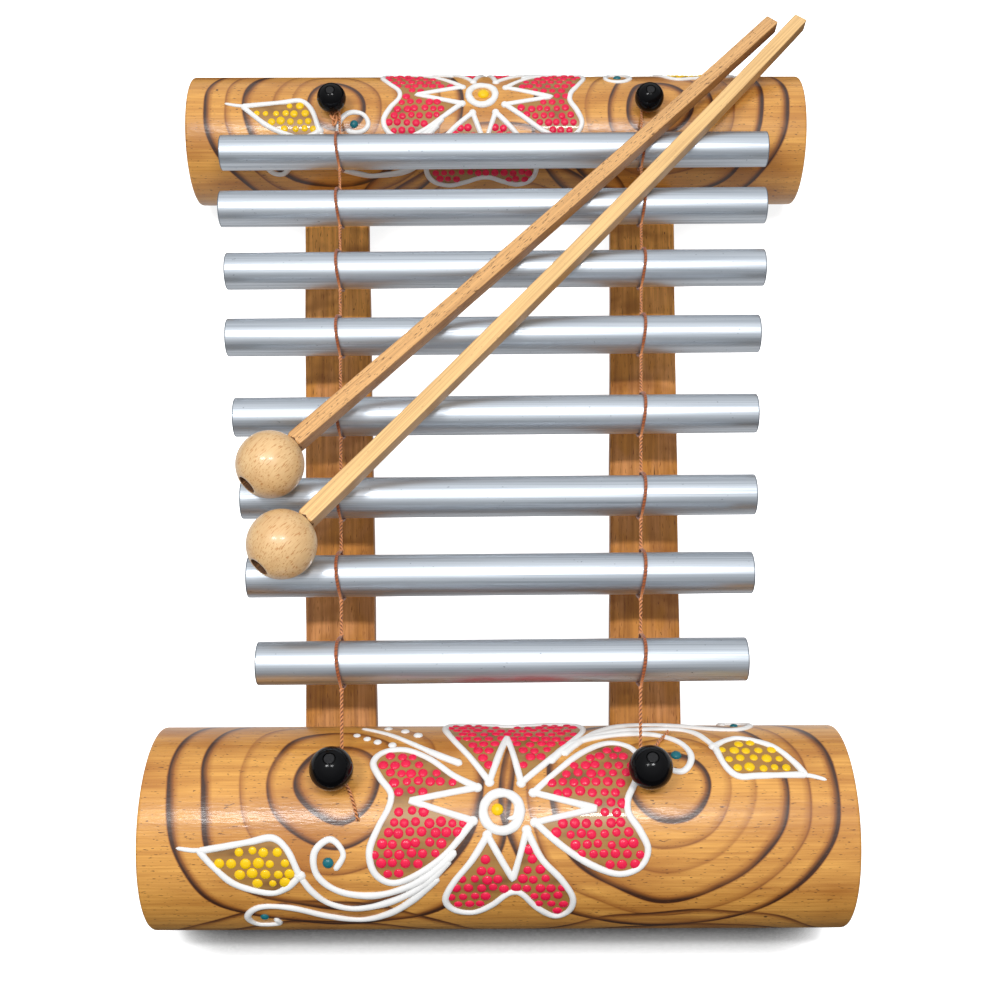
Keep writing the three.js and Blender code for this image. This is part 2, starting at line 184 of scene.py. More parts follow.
class StageSettings(bpy.types.PropertyGroup):
    """The camera's place and the light."""

    lens: FloatProperty(name="Lens", description="Focal length", default=46.869, unit="CAMERA")
    eye: location("Camera", "Where the camera stands", (-0.7315 * MM, -108.2513 * MM, 527.18 * MM))
    elevation: tilt("Elevation", "How far the camera looks down", 63.5469)
    yaw: tilt("Yaw", "Camera's turn to the right", 0.425)
    roll: tilt("Roll", "Camera's turn about its own line", 0.2046)
    lamp_watts: FloatProperty(name="Lamps", description="Power of each lamp", default=4.6, unit="POWER")
    lamp_width: length("Lamp width", "Width of each lamp", 260)
    lamp_depth: length("Lamp depth", "Depth of each lamp, from front to back", 70)
    left_lamp: location("Left lamp", "Where the left lamp hangs", (-0.37, -0.02, 1.2))
    right_lamp: location("Right lamp", "Where the right lamp hangs", (0.16, -0.02, 1.2))
    aim: location("Aim", "What the lamps point at", (0, 0.16, 0.05))
    glow: brightness("Glow", "Floor's glow for the camera", 0.9)
    mirror_glow: brightness("Mirror glow", "Floor's glow in reflections", 0.4)
    shadow_reach: length("Shadow reach", "How close over the floor a thing must be to shade it", 29)
    fill: brightness("Fill", "Brightness of the studio around", 0.66)
    floor: colour("Floor", "Plain pale floor", "#f7f7f7")
    floor_bounce: colour("Floor bounce", "The floor between the culms as a source of light", "#a0a0a0")
    floor_shade: colour("Floor shade", "The floor close to the object's foot", "#3c3c3c")


# Reading the frame


def node_points(name):
    """Returns a solid's vertices as an array of points."""
    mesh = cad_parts[name].data
    flat = np.empty(3 * len(mesh.vertices))
    mesh.vertices.foreach_get("co", flat)
    return flat.reshape(-1, 3)


def unit(vectors):
    """Scales vectors to length 1."""
    return vectors / np.linalg.norm(vectors, axis=-1, keepdims=True)


def long_axis(name, rising):
    """Returns both ends of a long solid's middle line, the one that is lower on axis `rising` first.

    The line passes through the middle of the solid's box, along the way in which its points spread most.
    """
    points = node_points(name)
    middle = (points.min(0) + points.max(0)) / 2
    along = np.linalg.svd(points - middle, full_matrices=False)[2][0]
    along = along * np.sign(along[rising])
    reach = (points - middle) @ along
    return middle + along * reach.min(), middle + along * reach.max()


@dataclass(frozen=True)
class Culm:
    """A culm's axis line and skin, as its solid has them."""

    y: float
    z: float
    radius: float
    length: float

    def skin(self, along, around, lift):
        """Points at `along` on X and the arc `around` from the crest to the far side, lifted off the skin."""
        turn = around / self.radius
        reach = self.radius + lift
        y = self.y + reach * np.sin(turn)
        z = self.z + reach * np.cos(turn)
        return np.stack(np.broadcast_arrays(along, y, z), -1)


def read_culm(name):
    """Reads a culm's sizes from its solid, which stands on a planed flat at z = 0."""
    low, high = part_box(name)
    radius = (high.y - low.y) / 2
    return Culm((low.y + high.y) / 2, high.z - radius, radius, high.x - low.x)


CULMS = {end: read_culm(f"{end}_culm") for end in ("near", "far")}
TUBE_RADIUS = (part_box(TUBES[0])[1].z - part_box(TUBES[0])[0].z) / 2

# Meshes


def grid_quads(rows, cols, wrap_rows, wrap_cols):
    """Returns each quad's four (row, column) corners; a wrapped side runs on past its last line."""
    i, j = np.meshgrid(
        np.arange(rows if wrap_rows else rows - 1), np.arange(cols if wrap_cols else cols - 1), indexing="ij"
    )
    corners = [np.stack([i + a, j + b], -1) for a, b in ((0, 0), (1, 0), (1, 1), (0, 1))]
    return np.stack(corners, -2).reshape(-1, 4, 2)


class Shell:
    """Gathers closed grids of points into one mesh."""

    def __init__(self):
        self.points = []
        self.faces = []
        self.uvs = []
        self.slots = []
        self.count = 0

    def add(self, grid, wrap_rows=False, slots=0, row_uv=None, col_uv=None):
        """Adds a grid, or a stack of like grids, whose columns run round and close.

        Rows close too where wrap_rows is true; else a flat face closes the first and the last row. Faces are
        turned outwards by the sign of the enclosed volume. slots is one material for all quads or one per
        row. Returns the shell itself.
        """
        copies = grid.reshape(-1, *grid.shape[-3:])
        rows, cols = copies.shape[1:3]
        corners = grid_quads(rows, cols, wrap_rows, True)
        quads = (corners[..., 0] % rows) * cols + corners[..., 1] % cols
        caps = [] if wrap_rows else [np.arange(cols)[::-1], (rows - 1) * cols + np.arange(cols)]
        flat = copies[0].reshape(-1, 3) - copies[0].reshape(-1, 3).mean(0)
        a, b, c, d = (flat[quads[:, k]] for k in range(4))
        volume = np.einsum("ij,ij", a, np.cross(b, c)) + np.einsum("ij,ij", a, np.cross(c, d))
        turn = slice(None) if volume > 0 else slice(None, None, -1)
        quads = quads[:, turn]
        corners = corners[:, turn]
        row_uv = np.arange(rows + 1.0) if row_uv is None else row_uv
        col_uv = np.linspace(0, 1, cols + 1) if col_uv is None else col_uv
        quad_uv = np.stack([row_uv[corners[..., 0]], col_uv[corners[..., 1]]], -1).reshape(-1, 2)
        cap_uv = np.zeros((sum(len(cap) for cap in caps), 2))
        quad_slots = np.broadcast_to(slots, rows)[corners[:, 0, 0] % rows]
        for copy in copies:
            self.points.append(copy.reshape(-1, 3))
            self.faces += (quads + self.count).tolist()
            self.faces += [(cap[turn] + self.count).tolist() for cap in caps]
            self.uvs += [quad_uv, cap_uv]
            self.slots += [quad_slots, np.full(len(caps), quad_slots[-1])]
            self.count += rows * cols
        return self

    def piece(self, name, materials, slot, sharp=40):
        """Makes the object, untransformed, with edges sharper than `sharp` degrees kept crisp."""
        mesh = bpy.data.meshes.new(name)
        mesh.from_pydata(np.concatenate(self.points).tolist(), [], self.faces)
        mesh.polygons.foreach_set("material_index", np.concatenate(self.slots).astype(np.int32))
        mesh.polygons.foreach_set("use_smooth", np.ones(len(mesh.polygons), bool))
        mesh.uv_layers.new(name="UVMap").data.foreach_set("uv", np.concatenate(self.uvs).ravel())
        mesh.set_sharp_from_angle(angle=np.radians(sharp))
        mesh.update()
        for material in materials:
            mesh.materials.append(material)
        made = bpy.data.objects.new(name, mesh)
        bpy.context.scene.collection.objects.link(made)
        return made


def eased(corners, radius, steps=4):
    """Rounds an outline's corners: each becomes a quadratic curve between two points `radius` from it."""
    corners = np.asarray(corners, float)
    before = corners + unit(np.roll(corners, 1, 0) - corners) * radius
    after = corners + unit(np.roll(corners, -1, 0) - corners) * radius
    t = np.linspace(0, 1, steps + 1)[None, :, None]
    curve = before[:, None] * (1 - t) ** 2 + 2 * corners[:, None] * t * (1 - t) + after[:, None] * t**2
    return curve.reshape(-1, corners.shape[1])


def arc(radius, start, stop, count):
    """A circle's points from one angle to another, as (across, up)."""
    turn = np.linspace(start, stop, count)
    return radius * np.stack([np.cos(turn), np.sin(turn)], -1)


def ring(radius, sides):
    """A whole circle's points, as (across, up)."""
    return arc(radius, 0, 2 * np.pi, sides + 1)[:-1]


# A direction well off the X axis, from which a lathe shape along X starts its turn
ASIDE_OF_X = [0.31, 0.17, 0.93]


def turned(profile, foot, axis, sides):
    """A lathe shape: each (radius, height) of the profile goes round the axis that rises from the foot."""
    axis = unit(np.asarray(axis, float))
    aside = ASIDE_OF_X if abs(axis[0]) > 0.5 else [1.0, 0.0, 0.0]
    across = unit(np.cross(axis, aside))
    turn = ring(1.0, sides)
    around = turn[:, :1] * across + turn[:, 1:] * np.cross(axis, across)
    profile = np.asarray(profile)
    return foot + profile[:, None, :1] * around[None] + profile[:, None, 1:] * axis


def heading(path, closed=False):
    """The direction of a path at each of its points; a closed one runs on past its last point."""
    return unit(np.roll(path, -1, 0) - np.roll(path, 1, 0) if closed else np.gradient(path, axis=0))


def swept(path, section, upright, closed=False):
    """Carries a section of (across, up) points along a path, with its across side square to `upright`.

    The section and upright may differ from one point of the path to the next, as an array of each.
    """
    tangent = heading(path, closed)
    across = unit(np.cross(tangent, upright))
    up = np.cross(across, tangent)
    section = np.broadcast_to(section, (len(path), *section.shape[-2:]))
    return path[:, None] + section[..., :1] * across[:, None] + section[..., 1:] * up[:, None]


def smooth_path(knots, per_span=10):
    """A curve through all knots: each span is a cubic whose end slopes are half the neighbours' chord."""
    knots = np.asarray(knots, float)
    padded = np.vstack([2 * knots[0] - knots[1], knots, 2 * knots[-1] - knots[-2]])
    p, q, r, s = padded[:-3, None], padded[1:-2, None], padded[2:-1, None], padded[3:, None]
    t = np.linspace(0, 1, per_span, endpoint=False)[None, :, None]
    curve = q + t * (r - p) / 2 + t**2 * (p - 2.5 * q + 2 * r - s / 2) + t**3 * (1.5 * (q - r) + (s - p) / 2)
    return np.vstack([curve.reshape(-1, knots.shape[1]), knots[-1:]])


def even_path(path, step):
    """Spaces a path's points evenly, about `step` apart."""
    gone = np.concatenate([[0], np.cumsum(np.linalg.norm(np.diff(path, axis=0), axis=1))])
    places = np.linspace(0, gone[-1], max(3, int(round(gone[-1] / step)) + 1))
    return np.stack([np.interp(places, gone, path[:, k]) for k in range(path.shape[1])], -1)


def wobble(count, period, seed):
    """A smooth uneven wave between about -1 and 1: three sines of unlike pitch with seeded phases."""
    phases = np.random.default_rng(seed).uniform(0, 2 * np.pi, 3)
    place = np.arange(count)[:, None] * 2 * np.pi / period
    return np.sin(place * [1.0, 1.7, 2.9] + phases) @ [0.5, 0.3, 0.2]


# Materials


def feed(tree, node, inputs):
    """Sets a node's inputs, each to a value or to an output that feeds it; a list is in socket order."""
    for socket, value in inputs.items() if isinstance(inputs, dict) else enumerate(inputs):
        if isinstance(value, bpy.types.NodeSocket):
            tree.links.new(value, node.inputs[socket])
        else:
            node.inputs[socket].default_value = value


def add(tree, kind, inputs=(), out=0, stops=(), **settings):
    """Adds a node with its settings, inputs and, on a ramp, stops of place and value; returns one output."""
    made = tree.nodes.new(kind)
    for name, value in settings.items():
        setattr(made, name, value)
    feed(tree, made, inputs)
    for number, (place, value) in enumerate(stops):
        elements = made.color_ramp.elements
        element = elements[number] if number < 2 else elements.new(place)
        element.position = place
        element.color = (value, value, value, 1)
    return made.outputs[out]


def new_material(name):
    """Starts a material; returns it with its tree and its shader."""
    material = bpy.data.materials.new(name)
    material.use_nodes = True
    return material, material.node_tree, material.node_tree.nodes["Principled BSDF"]


def mottle(tree, size, turn=(0, 0, 0), detail=2.0, out=0):
    """A pattern of blotches of this length, width and depth in millimetres, turned to follow a grain."""
    place = add(tree, "ShaderNodeTexCoord", out="Object")
    inputs = {"Vector": place, "Rotation": turn, "Scale": [side * MM for side in size]}
    laid = add(tree, "ShaderNodeMapping", inputs, vector_type="TEXTURE")
    inputs = {"Vector": laid, "Scale": 1.0, "Detail": detail, "Roughness": 0.55}
    return add(tree, "ShaderNodeTexNoise", inputs, out)


def glaze(tree, under, over, pattern, low, high, cover):
    """Lays a colour over another where a pattern goes from low to high, up to this cover."""
    share = add(tree, "ShaderNodeMapRange", [pattern, low, high, 0.0, cover])
    return add(tree, "ShaderNodeMix", {0: share, 6: under, 7: over}, 2, data_type="RGBA")


def lay(tree, base, layers, turn=(0, 0, 0)):
    """Lays colours in blotches over a base, one after the other.

    A layer is its colour, the blotches' length, width and depth in millimetres and their detail, the values
    of the pattern between which it comes in, and its cover.
    """
    for tint, size, detail, low, high, cover in layers:
        base = glaze(tree, base, tint, mottle(tree, size, turn, detail), low, high, cover)
    return base


def seen_rays(tree):
    """1 for rays of the camera, reflections and clear materials, else 0."""
    seen = 0.0
    for kind in ("Is Camera Ray", "Is Glossy Ray", "Is Transmission Ray"):
        ray = add(tree, "ShaderNodeLightPath", out=kind)
        seen = add(tree, "ShaderNodeMath", [seen, ray], operation="MAXIMUM")
    return seen


# Flame-burnt rings: radius, soft inner fade and hard outer fade in millimetres, and strength
LEFT_RINGS = [
    (14.8, 4.0, 0.8, 1.0),
    (24.2, 3.4, 0.7, 0.85),
    (35.0, 2.6, 0.7, 0.5),
    (49.7, 3.8, 0.8, 1.0),
    (60.7, 3.6, 0.8, 0.95),
]
RIGHT_RINGS = [
    (14.0, 4.0, 0.8, 1.0),
    (22.5, 3.2, 0.7, 0.5),
    (31.0, 2.6, 0.7, 0.45),
    (42.2, 3.8, 0.8, 1.0),
    (50.0, 2.8, 0.7, 0.55),
    (59.7, 3.8, 0.8, 1.0),
]
UNDER_RINGS = [(50.0, 3.4, 0.7, 0.6), (63.0, 3.6, 0.8, 0.85), (75.0, 3.4, 0.8, 0.8)]
# The distance from a foot that the ramp of rings spans, in millimetres
RINGS_REACH = 80.0
# Middles of the rings, in millimetres along the culm and around it from its crest
RING_FEET = {
    "near": [
        ((-57, 9), LEFT_RINGS),
        ((58.5, 7), RIGHT_RINGS),
        ((66, -115), UNDER_RINGS),
        ((-62, -112), UNDER_RINGS),
        ((4, 108), LEFT_RINGS),
    ],
    "far": [
        ((-77, -3), RIGHT_RINGS),
        ((77, -5), LEFT_RINGS),
        ((0, -88), UNDER_RINGS),
        ((40, 85), RIGHT_RINGS),
        ((-60, 82), LEFT_RINGS),
    ],
}
# How far a full swing of the noise moves the rings, in millimetres
RING_SWAY = 12.0
# Usual distance between round pits in the skin, in millimetres
PIT_SPACING = 22.0


def burnt_rings(tree, place, foot, rings):
    """How burnt the skin is: the distance from a foot, through a ramp that rises and drops at each ring."""
    span = add(tree, "ShaderNodeVectorMath", [place, foot], "Value", operation="DISTANCE")
    share = add(tree, "ShaderNodeMath", [span, RINGS_REACH * MM], operation="DIVIDE")
    stops = [
        (edge / RINGS_REACH, value)
        for radius, soft, hard, strength in rings
        for edge, value in ((radius - soft, 0.0), (radius, strength), (radius + hard, 0.0))
    ]
    return add(tree, "ShaderNodeValToRGB", [share], stops=stops)


def unrolled(tree, culm):
    """A culm's skin laid flat: the way along it, and the angle from its crest times the radius."""
    place = add(tree, "ShaderNodeTexCoord", out="Object")
    from_axis = add(tree, "ShaderNodeVectorMath", [place, (0, culm.y, culm.z)], operation="SUBTRACT")
    x, y, z = (add(tree, "ShaderNodeSeparateXYZ", [from_axis], axis) for axis in "XYZ")
    angle = add(tree, "ShaderNodeMath", [y, z], operation="ARCTAN2")
    around = add(tree, "ShaderNodeMath", [angle, culm.radius], operation="MULTIPLY")
    return add(tree, "ShaderNodeCombineXYZ", [x, around])


def bamboo_skin(end):
    """Bamboo skin, flame-burnt and varnished: honey fibres, dark pores and pits, burnt rings with dark edges.

    The varnish dries uneven over the fibres, so its sheen breaks into streaks.
    """
    look = bpy.context.scene.metallophone_culms
    material, tree, shader = new_material(f"burnt varnished bamboo, {end}")
    base = lay(tree, look.honey, [
        (look.amber, (26, 0.6, 0.6), 2, 0.35, 0.75, 0.5),
        (look.amber, (80, 3.5, 3.5), 3, 0.42, 0.75, 0.55),
        (look.amber, (48, 18, 18), 2, 0.45, 0.7, 0.7),
    ])
    flat = unrolled(tree, CULMS[end])
    sway = mottle(tree, (45, 45, 45), detail=1, out="Color")
    centred = add(tree, "ShaderNodeVectorMath", [sway, (0.5, 0.5, 0.5)], operation="SUBTRACT")
    reach = (RING_SWAY * MM, RING_SWAY * MM, 0)
    moved = add(tree, "ShaderNodeVectorMath", [centred, reach, flat], operation="MULTIPLY_ADD")
    burn = 0.0
    for (along, around), rings in RING_FEET[end]:
        one = burnt_rings(tree, moved, (along * MM, around * MM, 0), rings)
        burn = add(tree, "ShaderNodeMath", [burn, one], operation="MAXIMUM")
    patchy = add(tree, "ShaderNodeMapRange", [mottle(tree, (32, 32, 32)), 0.36, 0.56, 0.7, 1.0])
    burn = add(tree, "ShaderNodeMath", [burn, patchy], operation="MULTIPLY")
    base = glaze(tree, base, look.toast, burn, 0.0, 0.5, 0.9)
    base = glaze(tree, base, look.scorch, burn, 0.36, 0.76, 0.95)
    base = lay(tree, base, [(look.pore, (2.2, 0.5, 0.5), 1, 0.67, 0.73, 0.9)])
    pits = add(tree, "ShaderNodeTexVoronoi", {"Vector": flat, "Scale": 1 / (PIT_SPACING * MM)}, "Distance")
    ripple = add(tree, "ShaderNodeBump", {"Height": mottle(tree, (5, 1.2, 1.2)), "Distance": 0.1 * MM})
    feed(tree, shader, {
        "Base Color": glaze(tree, base, look.scorch, pits, 0.035, 0.02, 0.9),
        "Roughness": 0.38,
        "Specular IOR Level": 0.5,
        "Normal": ripple,
        "Coat Weight": 0.3,
        "Coat Roughness": 0.18,
        "Coat Normal": ripple,
    })
    return material


def cut_bamboo():
    """Bamboo as sawn: pale tan flesh with fibre bundles, dark dots on the ends and dark lines inside."""
    look = bpy.context.scene.metallophone_culms
    material, tree, shader = new_material("sawn bamboo")
    place = add(tree, "ShaderNodeTexCoord", out="Object")
    inputs = {"Vector": place, "Scale": (30 * MM, 1.1 * MM, 1.1 * MM)}
    laid = add(tree, "ShaderNodeMapping", inputs, vector_type="TEXTURE")
    bundles = add(tree, "ShaderNodeTexVoronoi", {"Vector": laid, "Scale": 1.0}, "Distance")
    feed(tree, shader, {
        "Base Color": glaze(tree, look.cut, look.pore, bundles, 0.42, 0.2, 0.7),
        "Roughness": 0.75,
        "Normal": add(tree, "ShaderNodeBump", {"Height": bundles, "Distance": 0.1 * MM}),
    })
    return material


def black_lacquer():
    """Black lacquer on turned wood: near-black and glossy, with a faint unevenness."""
    look = bpy.context.scene.metallophone_culms
    material, tree, shader = new_material("black lacquered wood")
    smears = mottle(tree, (4, 4, 4))
    waves = mottle(tree, (9, 9, 9), detail=1)
    feed(tree, shader, {
        "Base Color": look.lacquer,
        "Specular IOR Level": 0.12,
        "Roughness": add(tree, "ShaderNodeMapRange", [smears, 0.3, 0.7, 0.1, 0.18]),
        "Normal": add(tree, "ShaderNodeBump", {"Height": waves, "Distance": 0.05 * MM}),
    })
    return material


def peg_wood():
    """Stained hardwood peg: dark grey-brown end grain under thin lacquer."""
    look = bpy.context.scene.metallophone_culms
    material, tree, shader = new_material("stained peg wood")
    feed(tree, shader, {
        "Base Color": lay(tree, look.peg, [(look.lacquer, (0.5, 0.5, 6), 2, 0.35, 0.7, 1.0)]),
        "Roughness": 0.35,
        "Specular IOR Level": 0.3,
    })
    return material


def acrylic(name, tint, depth):
    """Squeezed acrylic paint: an even glossy colour that goes a little darker in patches."""
    material, tree, shader = new_material(name)
    darker = (*(0.6 * value for value in tint[:3]), 1.0)
    waves = mottle(tree, (1.8, 1.8, 1.8))
    feed(tree, shader, {
        "Base Color": lay(tree, tint, [(darker, (5, 5, 5), 2, 0.3, 0.7, depth)]),
        "Roughness": 0.3,
        "Specular IOR Level": 0.3,
        "Coat Weight": 0.12,
        "Coat Roughness": 0.1,
        "Normal": add(tree, "ShaderNodeBump", {"Height": waves, "Distance": 0.06 * MM}),
    })
    return material


def thin_wash():
    """Thinned brown paint brushed over bamboo: the fibres show through it, with dark smudges."""
    paint = bpy.context.scene.metallophone_paint
    look = bpy.context.scene.metallophone_culms
    material, tree, shader = new_material(PAINTS["wash"])
    base = lay(tree, paint.wash, [
        (look.amber, (40, 0.9, 0.9), 3, 0.3, 0.7, 0.4),
        (look.pore, (16, 7, 7), 2, 0.5, 0.72, 0.7),
    ])
    feed(tree, shader, {"Base Color": base, "Roughness": 0.35, "Coat Weight": 0.2})
    return material


# Places along the rails between which painted light comes in on their far ends
PAINTED_LIGHT_START = 190 * MM
PAINTED_LIGHT_END = 290 * MM


def rail_timber(name, slope):
    """Brown softwood slat, sanded and varnished: lengthwise grain, knots, cracks and an uneven stain.

    Towards the far culm it is painted paler: painted light on the far ends, which the lamps leave in shade
    under the tubes and the far culm.
    """
    look = bpy.context.scene.metallophone_row
    material, tree, shader = new_material(name)
    along = (0, 0, np.pi / 2 + slope)
    grain = mottle(tree, (55, 1.8, 3), along, detail=4)
    base = lay(tree, look.rail_wood, [(look.rail_blush, (26, 11, 11), 2, 0.45, 0.62, 0.8)], along)
    place = add(tree, "ShaderNodeTexCoord", out="Object")
    back = add(tree, "ShaderNodeSeparateXYZ", [place], "Y")
    # Painted light: the rails grow paler towards their far ends
    base = glaze(tree, base, look.rail_painted_light, back, PAINTED_LIGHT_START, PAINTED_LIGHT_END, 0.95)
    base = glaze(tree, base, look.rail_grain, grain, 0.4, 0.72, 0.65)
    base = lay(tree, base, [
        (look.rail_grain, (15, 24, 20), 2, 0.5, 0.68, 0.55),
        (look.rail_grain, (4.5, 0.5, 0.5), 1, 0.64, 0.73, 0.8),
        (look.rail_crack, (16, 0.9, 3), 2, 0.69, 0.74, 0.9),
        (look.rail_crack, (4, 2.2, 2.2), 2, 0.74, 0.79, 0.85),
    ], along)
    feed(tree, shader, {
        "Base Color": base,
        "Roughness": 0.5,
        "Specular IOR Level": 0.3,
        "Normal": add(tree, "ShaderNodeBump", {"Height": grain, "Distance": 0.12 * MM}),
    })
    return material


def drawn_aluminium():
    """Aluminium tube as drawn: satin grey metal with fine lines along it, dull streaks and small nicks."""
    look = bpy.context.scene.metallophone_row
    material, tree, shader = new_material("drawn aluminium")
    lines = mottle(tree, (150, 0.55, 0.55), detail=3)
    streaks = mottle(tree, (110, 2.2, 2.2))
    base = glaze(tree, look.metal, look.sawn_metal, lines, 0.45, 0.72, 0.5)
    base = glaze(tree, base, look.sawn_metal, streaks, 0.52, 0.74, 0.35)
    base = lay(tree, base, [(look.sawn_metal, (1.6, 0.9, 0.9), 1, 0.75, 0.78, 0.8)])
    dull = add(tree, "ShaderNodeMath", [lines, streaks], operation="ADD")
    feed(tree, shader, {
        "Base Color": base,
        "Metallic": 1.0,
        "Roughness": add(tree, "ShaderNodeMapRange", [dull, 0.7, 1.3, 0.34, 0.52]),
        "Normal": add(tree, "ShaderNodeBump", {"Height": lines, "Distance": 0.014 * MM}),
    })
    return material


def sawn_aluminium():
    """Aluminium as sawn and filed: darker and duller than the drawn skin, with fine cross scratches."""
    look = bpy.context.scene.metallophone_row
    material, tree, shader = new_material("sawn aluminium")
    scratches = mottle(tree, (0.4, 3, 0.4))
    feed(tree, shader, {
        "Base Color": look.sawn_metal,
        "Metallic": 1.0,
        "Roughness": add(tree, "ShaderNodeMapRange", [scratches, 0.3, 0.7, 0.4, 0.6]),
    })
    return material


CORD_MATERIAL = "waxed copper-brown cord"
FIBRE_RIDGE = 1.25 * MM
# Lengths along a ply between which the taut look gives way to the slack one
TAUT_END = 9 * MM
SLACK_START = 14 * MM


def waxed_cord():
    """Waxed copper-brown cord, twisted: painted shade between its slanting fibres and between its plies;
    darker where it is taut.

    The UV holds the length along a ply from a tube's middle, and the way round it: a quarter turn faces out.
    A fibre ridge is longer than a real one, so that it shows.
    """
    look = bpy.context.scene.metallophone_row
    material, tree, shader = new_material(CORD_MATERIAL)
    uv = add(tree, "ShaderNodeTexCoord", out="UV")
    gone = add(tree, "ShaderNodeSeparateXYZ", [uv], "X")
    around = add(tree, "ShaderNodeSeparateXYZ", [uv], "Y")
    slant = add(tree, "ShaderNodeMath", [gone, 1 / FIBRE_RIDGE, around], operation="MULTIPLY_ADD")
    ridge = add(tree, "ShaderNodeMath", [slant, 0.5], operation="PINGPONG")
    inward_shade = add(tree, "ShaderNodeMath", [around, 0.25], operation="SUBTRACT")
    inward_shade = add(tree, "ShaderNodeMath", [inward_shade, 0.5], operation="PINGPONG")
    # Painted shade in the grooves between the slanting fibres, and on each ply's side that faces the other
    # ply
    taut = glaze(tree, look.cord_taut, look.cord_crease_shade, ridge, 0.32, 0.12, 0.8)
    slack = glaze(tree, look.cord, look.cord_crease_shade, inward_shade, 0.12, 0.36, 0.95)
    feed(tree, shader, {
        "Base Color": glaze(tree, taut, slack, gone, TAUT_END, SLACK_START, 1.0),
        "Roughness": 0.42,
        "Sheen Weight": 0.15,
        "Normal": add(tree, "ShaderNodeBump", {"Height": ridge, "Distance": 0.12 * MM}),
    })
    return material


def turned_beech(name, turn):
    """Beech, turned and varnished: pale tan with short dark rays along the grain and a broad warm figure."""
    look = bpy.context.scene.metallophone_mallets
    material, tree, shader = new_material(name)
    rays = mottle(tree, (3.4, 0.5, 0.8), turn, detail=1)
    base = lay(tree, look.beech, [
        (look.ray, (30, 7, 7), 3, 0.4, 0.75, 0.35),
        (look.ray, (14, 0.5, 1.2), 2, 0.5, 0.75, 0.3),
    ], turn)
    feed(tree, shader, {
        "Base Color": glaze(tree, base, look.ray, rays, 0.58, 0.66, 0.8),
        "Roughness": 0.36,
        "Coat Weight": 0.3,
        "Coat Roughness": 0.15,
        "Normal": add(tree, "ShaderNodeBump", {"Height": rays, "Distance": 0.1 * MM}),
    })
    return material


def bore_painted_shade(name, turn):
    """Beech as bored, left raw: dark brown as painted shade deep in the bore, with fibre ends that show as
    specks.
    """
    look = bpy.context.scene.metallophone_mallets
    material, tree, shader = new_material(name)
    specks = mottle(tree, (3, 0.6, 0.6), turn)
    feed(tree, shader, {
        "Base Color": glaze(tree, look.bore, look.ray, specks, 0.5, 0.75, 0.6),
        "Roughness": 0.8,
        "Normal": add(tree, "ShaderNodeBump", {"Height": specks, "Distance": 0.1 * MM}),
    })
    return material


def stick_timber(name, tint, turn, pored):
    """Split and planed stick: straight grain along it under thin varnish, with painted shade on its flanks.

    The share pored gives it open dark pores.
    """
    look = bpy.context.scene.metallophone_mallets
    material, tree, shader = new_material(name)
    grain = mottle(tree, (60, 0.55, 0.55), turn, detail=3)
    base = glaze(tree, tint, look.stick_grain_and_shade, grain, 0.42, 0.75, 0.45 + 0.15 * pored)
    pores = (0.72 - 0.1 * pored, 0.78 - 0.08 * pored, 0.4 + 0.45 * pored)
    base = lay(tree, base, [
        (look.stick_grain_and_shade, (60, 2.6, 2.6), 2, 0.5, 0.8, 0.25),
        (look.stick_pore, (3, 0.5, 0.5), 1, *pores),
        (look.stick_grain_and_shade, (3.5, 1.6, 1.6), 2, 0.74, 0.8, 0.7),
    ], turn)
    # UV runs round the stick from its top: the second and the fourth quarter are its flanks, which get
    # painted shade
    uv = add(tree, "ShaderNodeTexCoord", out="UV")
    round_it = add(tree, "ShaderNodeSeparateXYZ", [uv], "Y")
    flank_shade = add(tree, "ShaderNodeMath", [round_it, 0.5], operation="MODULO")
    feed(tree, shader, {
        "Base Color": glaze(tree, base, look.stick_grain_and_shade, flank_shade, 0.245, 0.265, 0.6),
        "Roughness": 0.42,
        "Coat Weight": 0.2,
        "Coat Roughness": 0.2,
        "Normal": add(tree, "ShaderNodeBump", {"Height": grain, "Distance": 0.04 * MM}),
    })
    return material


# Knobs and cords


def knob_axis(end, side):
    """Returns a knob's foot on its culm's skin and the direction in which its peg leans out."""
    bottom, top = long_axis(f"{end}_{side}_peg", 2)
    out = unit(top - bottom)
    culm = CULMS[end]
    return np.array([bottom[0], culm.y, culm.z]) + out * culm.radius, out


CLEARANCE = 0.3 * MM
CORD_RADIUS = 0.65 * MM
PEG_RADIUS = 2.0 * MM
LOOP_RADIUS = PEG_RADIUS + CLEARANCE + CORD_RADIUS
LOOP_HEIGHT = CLEARANCE + CORD_RADIUS
LOOP_TURNS = 6
LOOP_POINTS = 96
# A strand's way from a tube's middle to where it joins the other, its bow to the side, its gap to the tube,
# and its points on the tube and beside it
STRAND_REACH = 10.6 * MM
STRAND_BOW = 1.1 * MM
STRAND_LIFT = 0.1 * MM
STRAND_ARC_POINTS = 24
STRAND_LINE_POINTS = 12
# The hoop that binds two strands where they join; it leans along the cord by a share of its radius
HOOP_RADIUS = 0.6 * MM
HOOP_THICKNESS = 0.3 * MM
HOOP_LEAN = 0.5
HOOP_POINTS = 20
PLY_SIDES = 8
PLY_STEP = 0.25 * MM
PLY_LEAST_POINTS = 12
# Points before and after the hoop over which a strand thins to a ply
THINNING = 8
# UV length from which a cord no longer counts as taut
SLACK = 20 * MM
# The cords' loose ends lie on the near culm: millimetres right of the bead, and degrees from the crest
TAILS = {
    "left": [(3, 12), (4.8, 9), (7, 1.5), (9.2, -9.7)],
    "right": [(-3, 15), (0.8, 25), (4.6, 37), (9.6, 50)],
}
# The knot beside the far left peg: millimetres from the cord's end, its shape's width, length and height
KNOT_PLACE = (-1.8, -7.2, 0.3)
KNOT_SIZE = (0.75, 1.5, 0.8)
KNOT_RADIUS = 0.55 * MM
KNOT_POINTS = 90


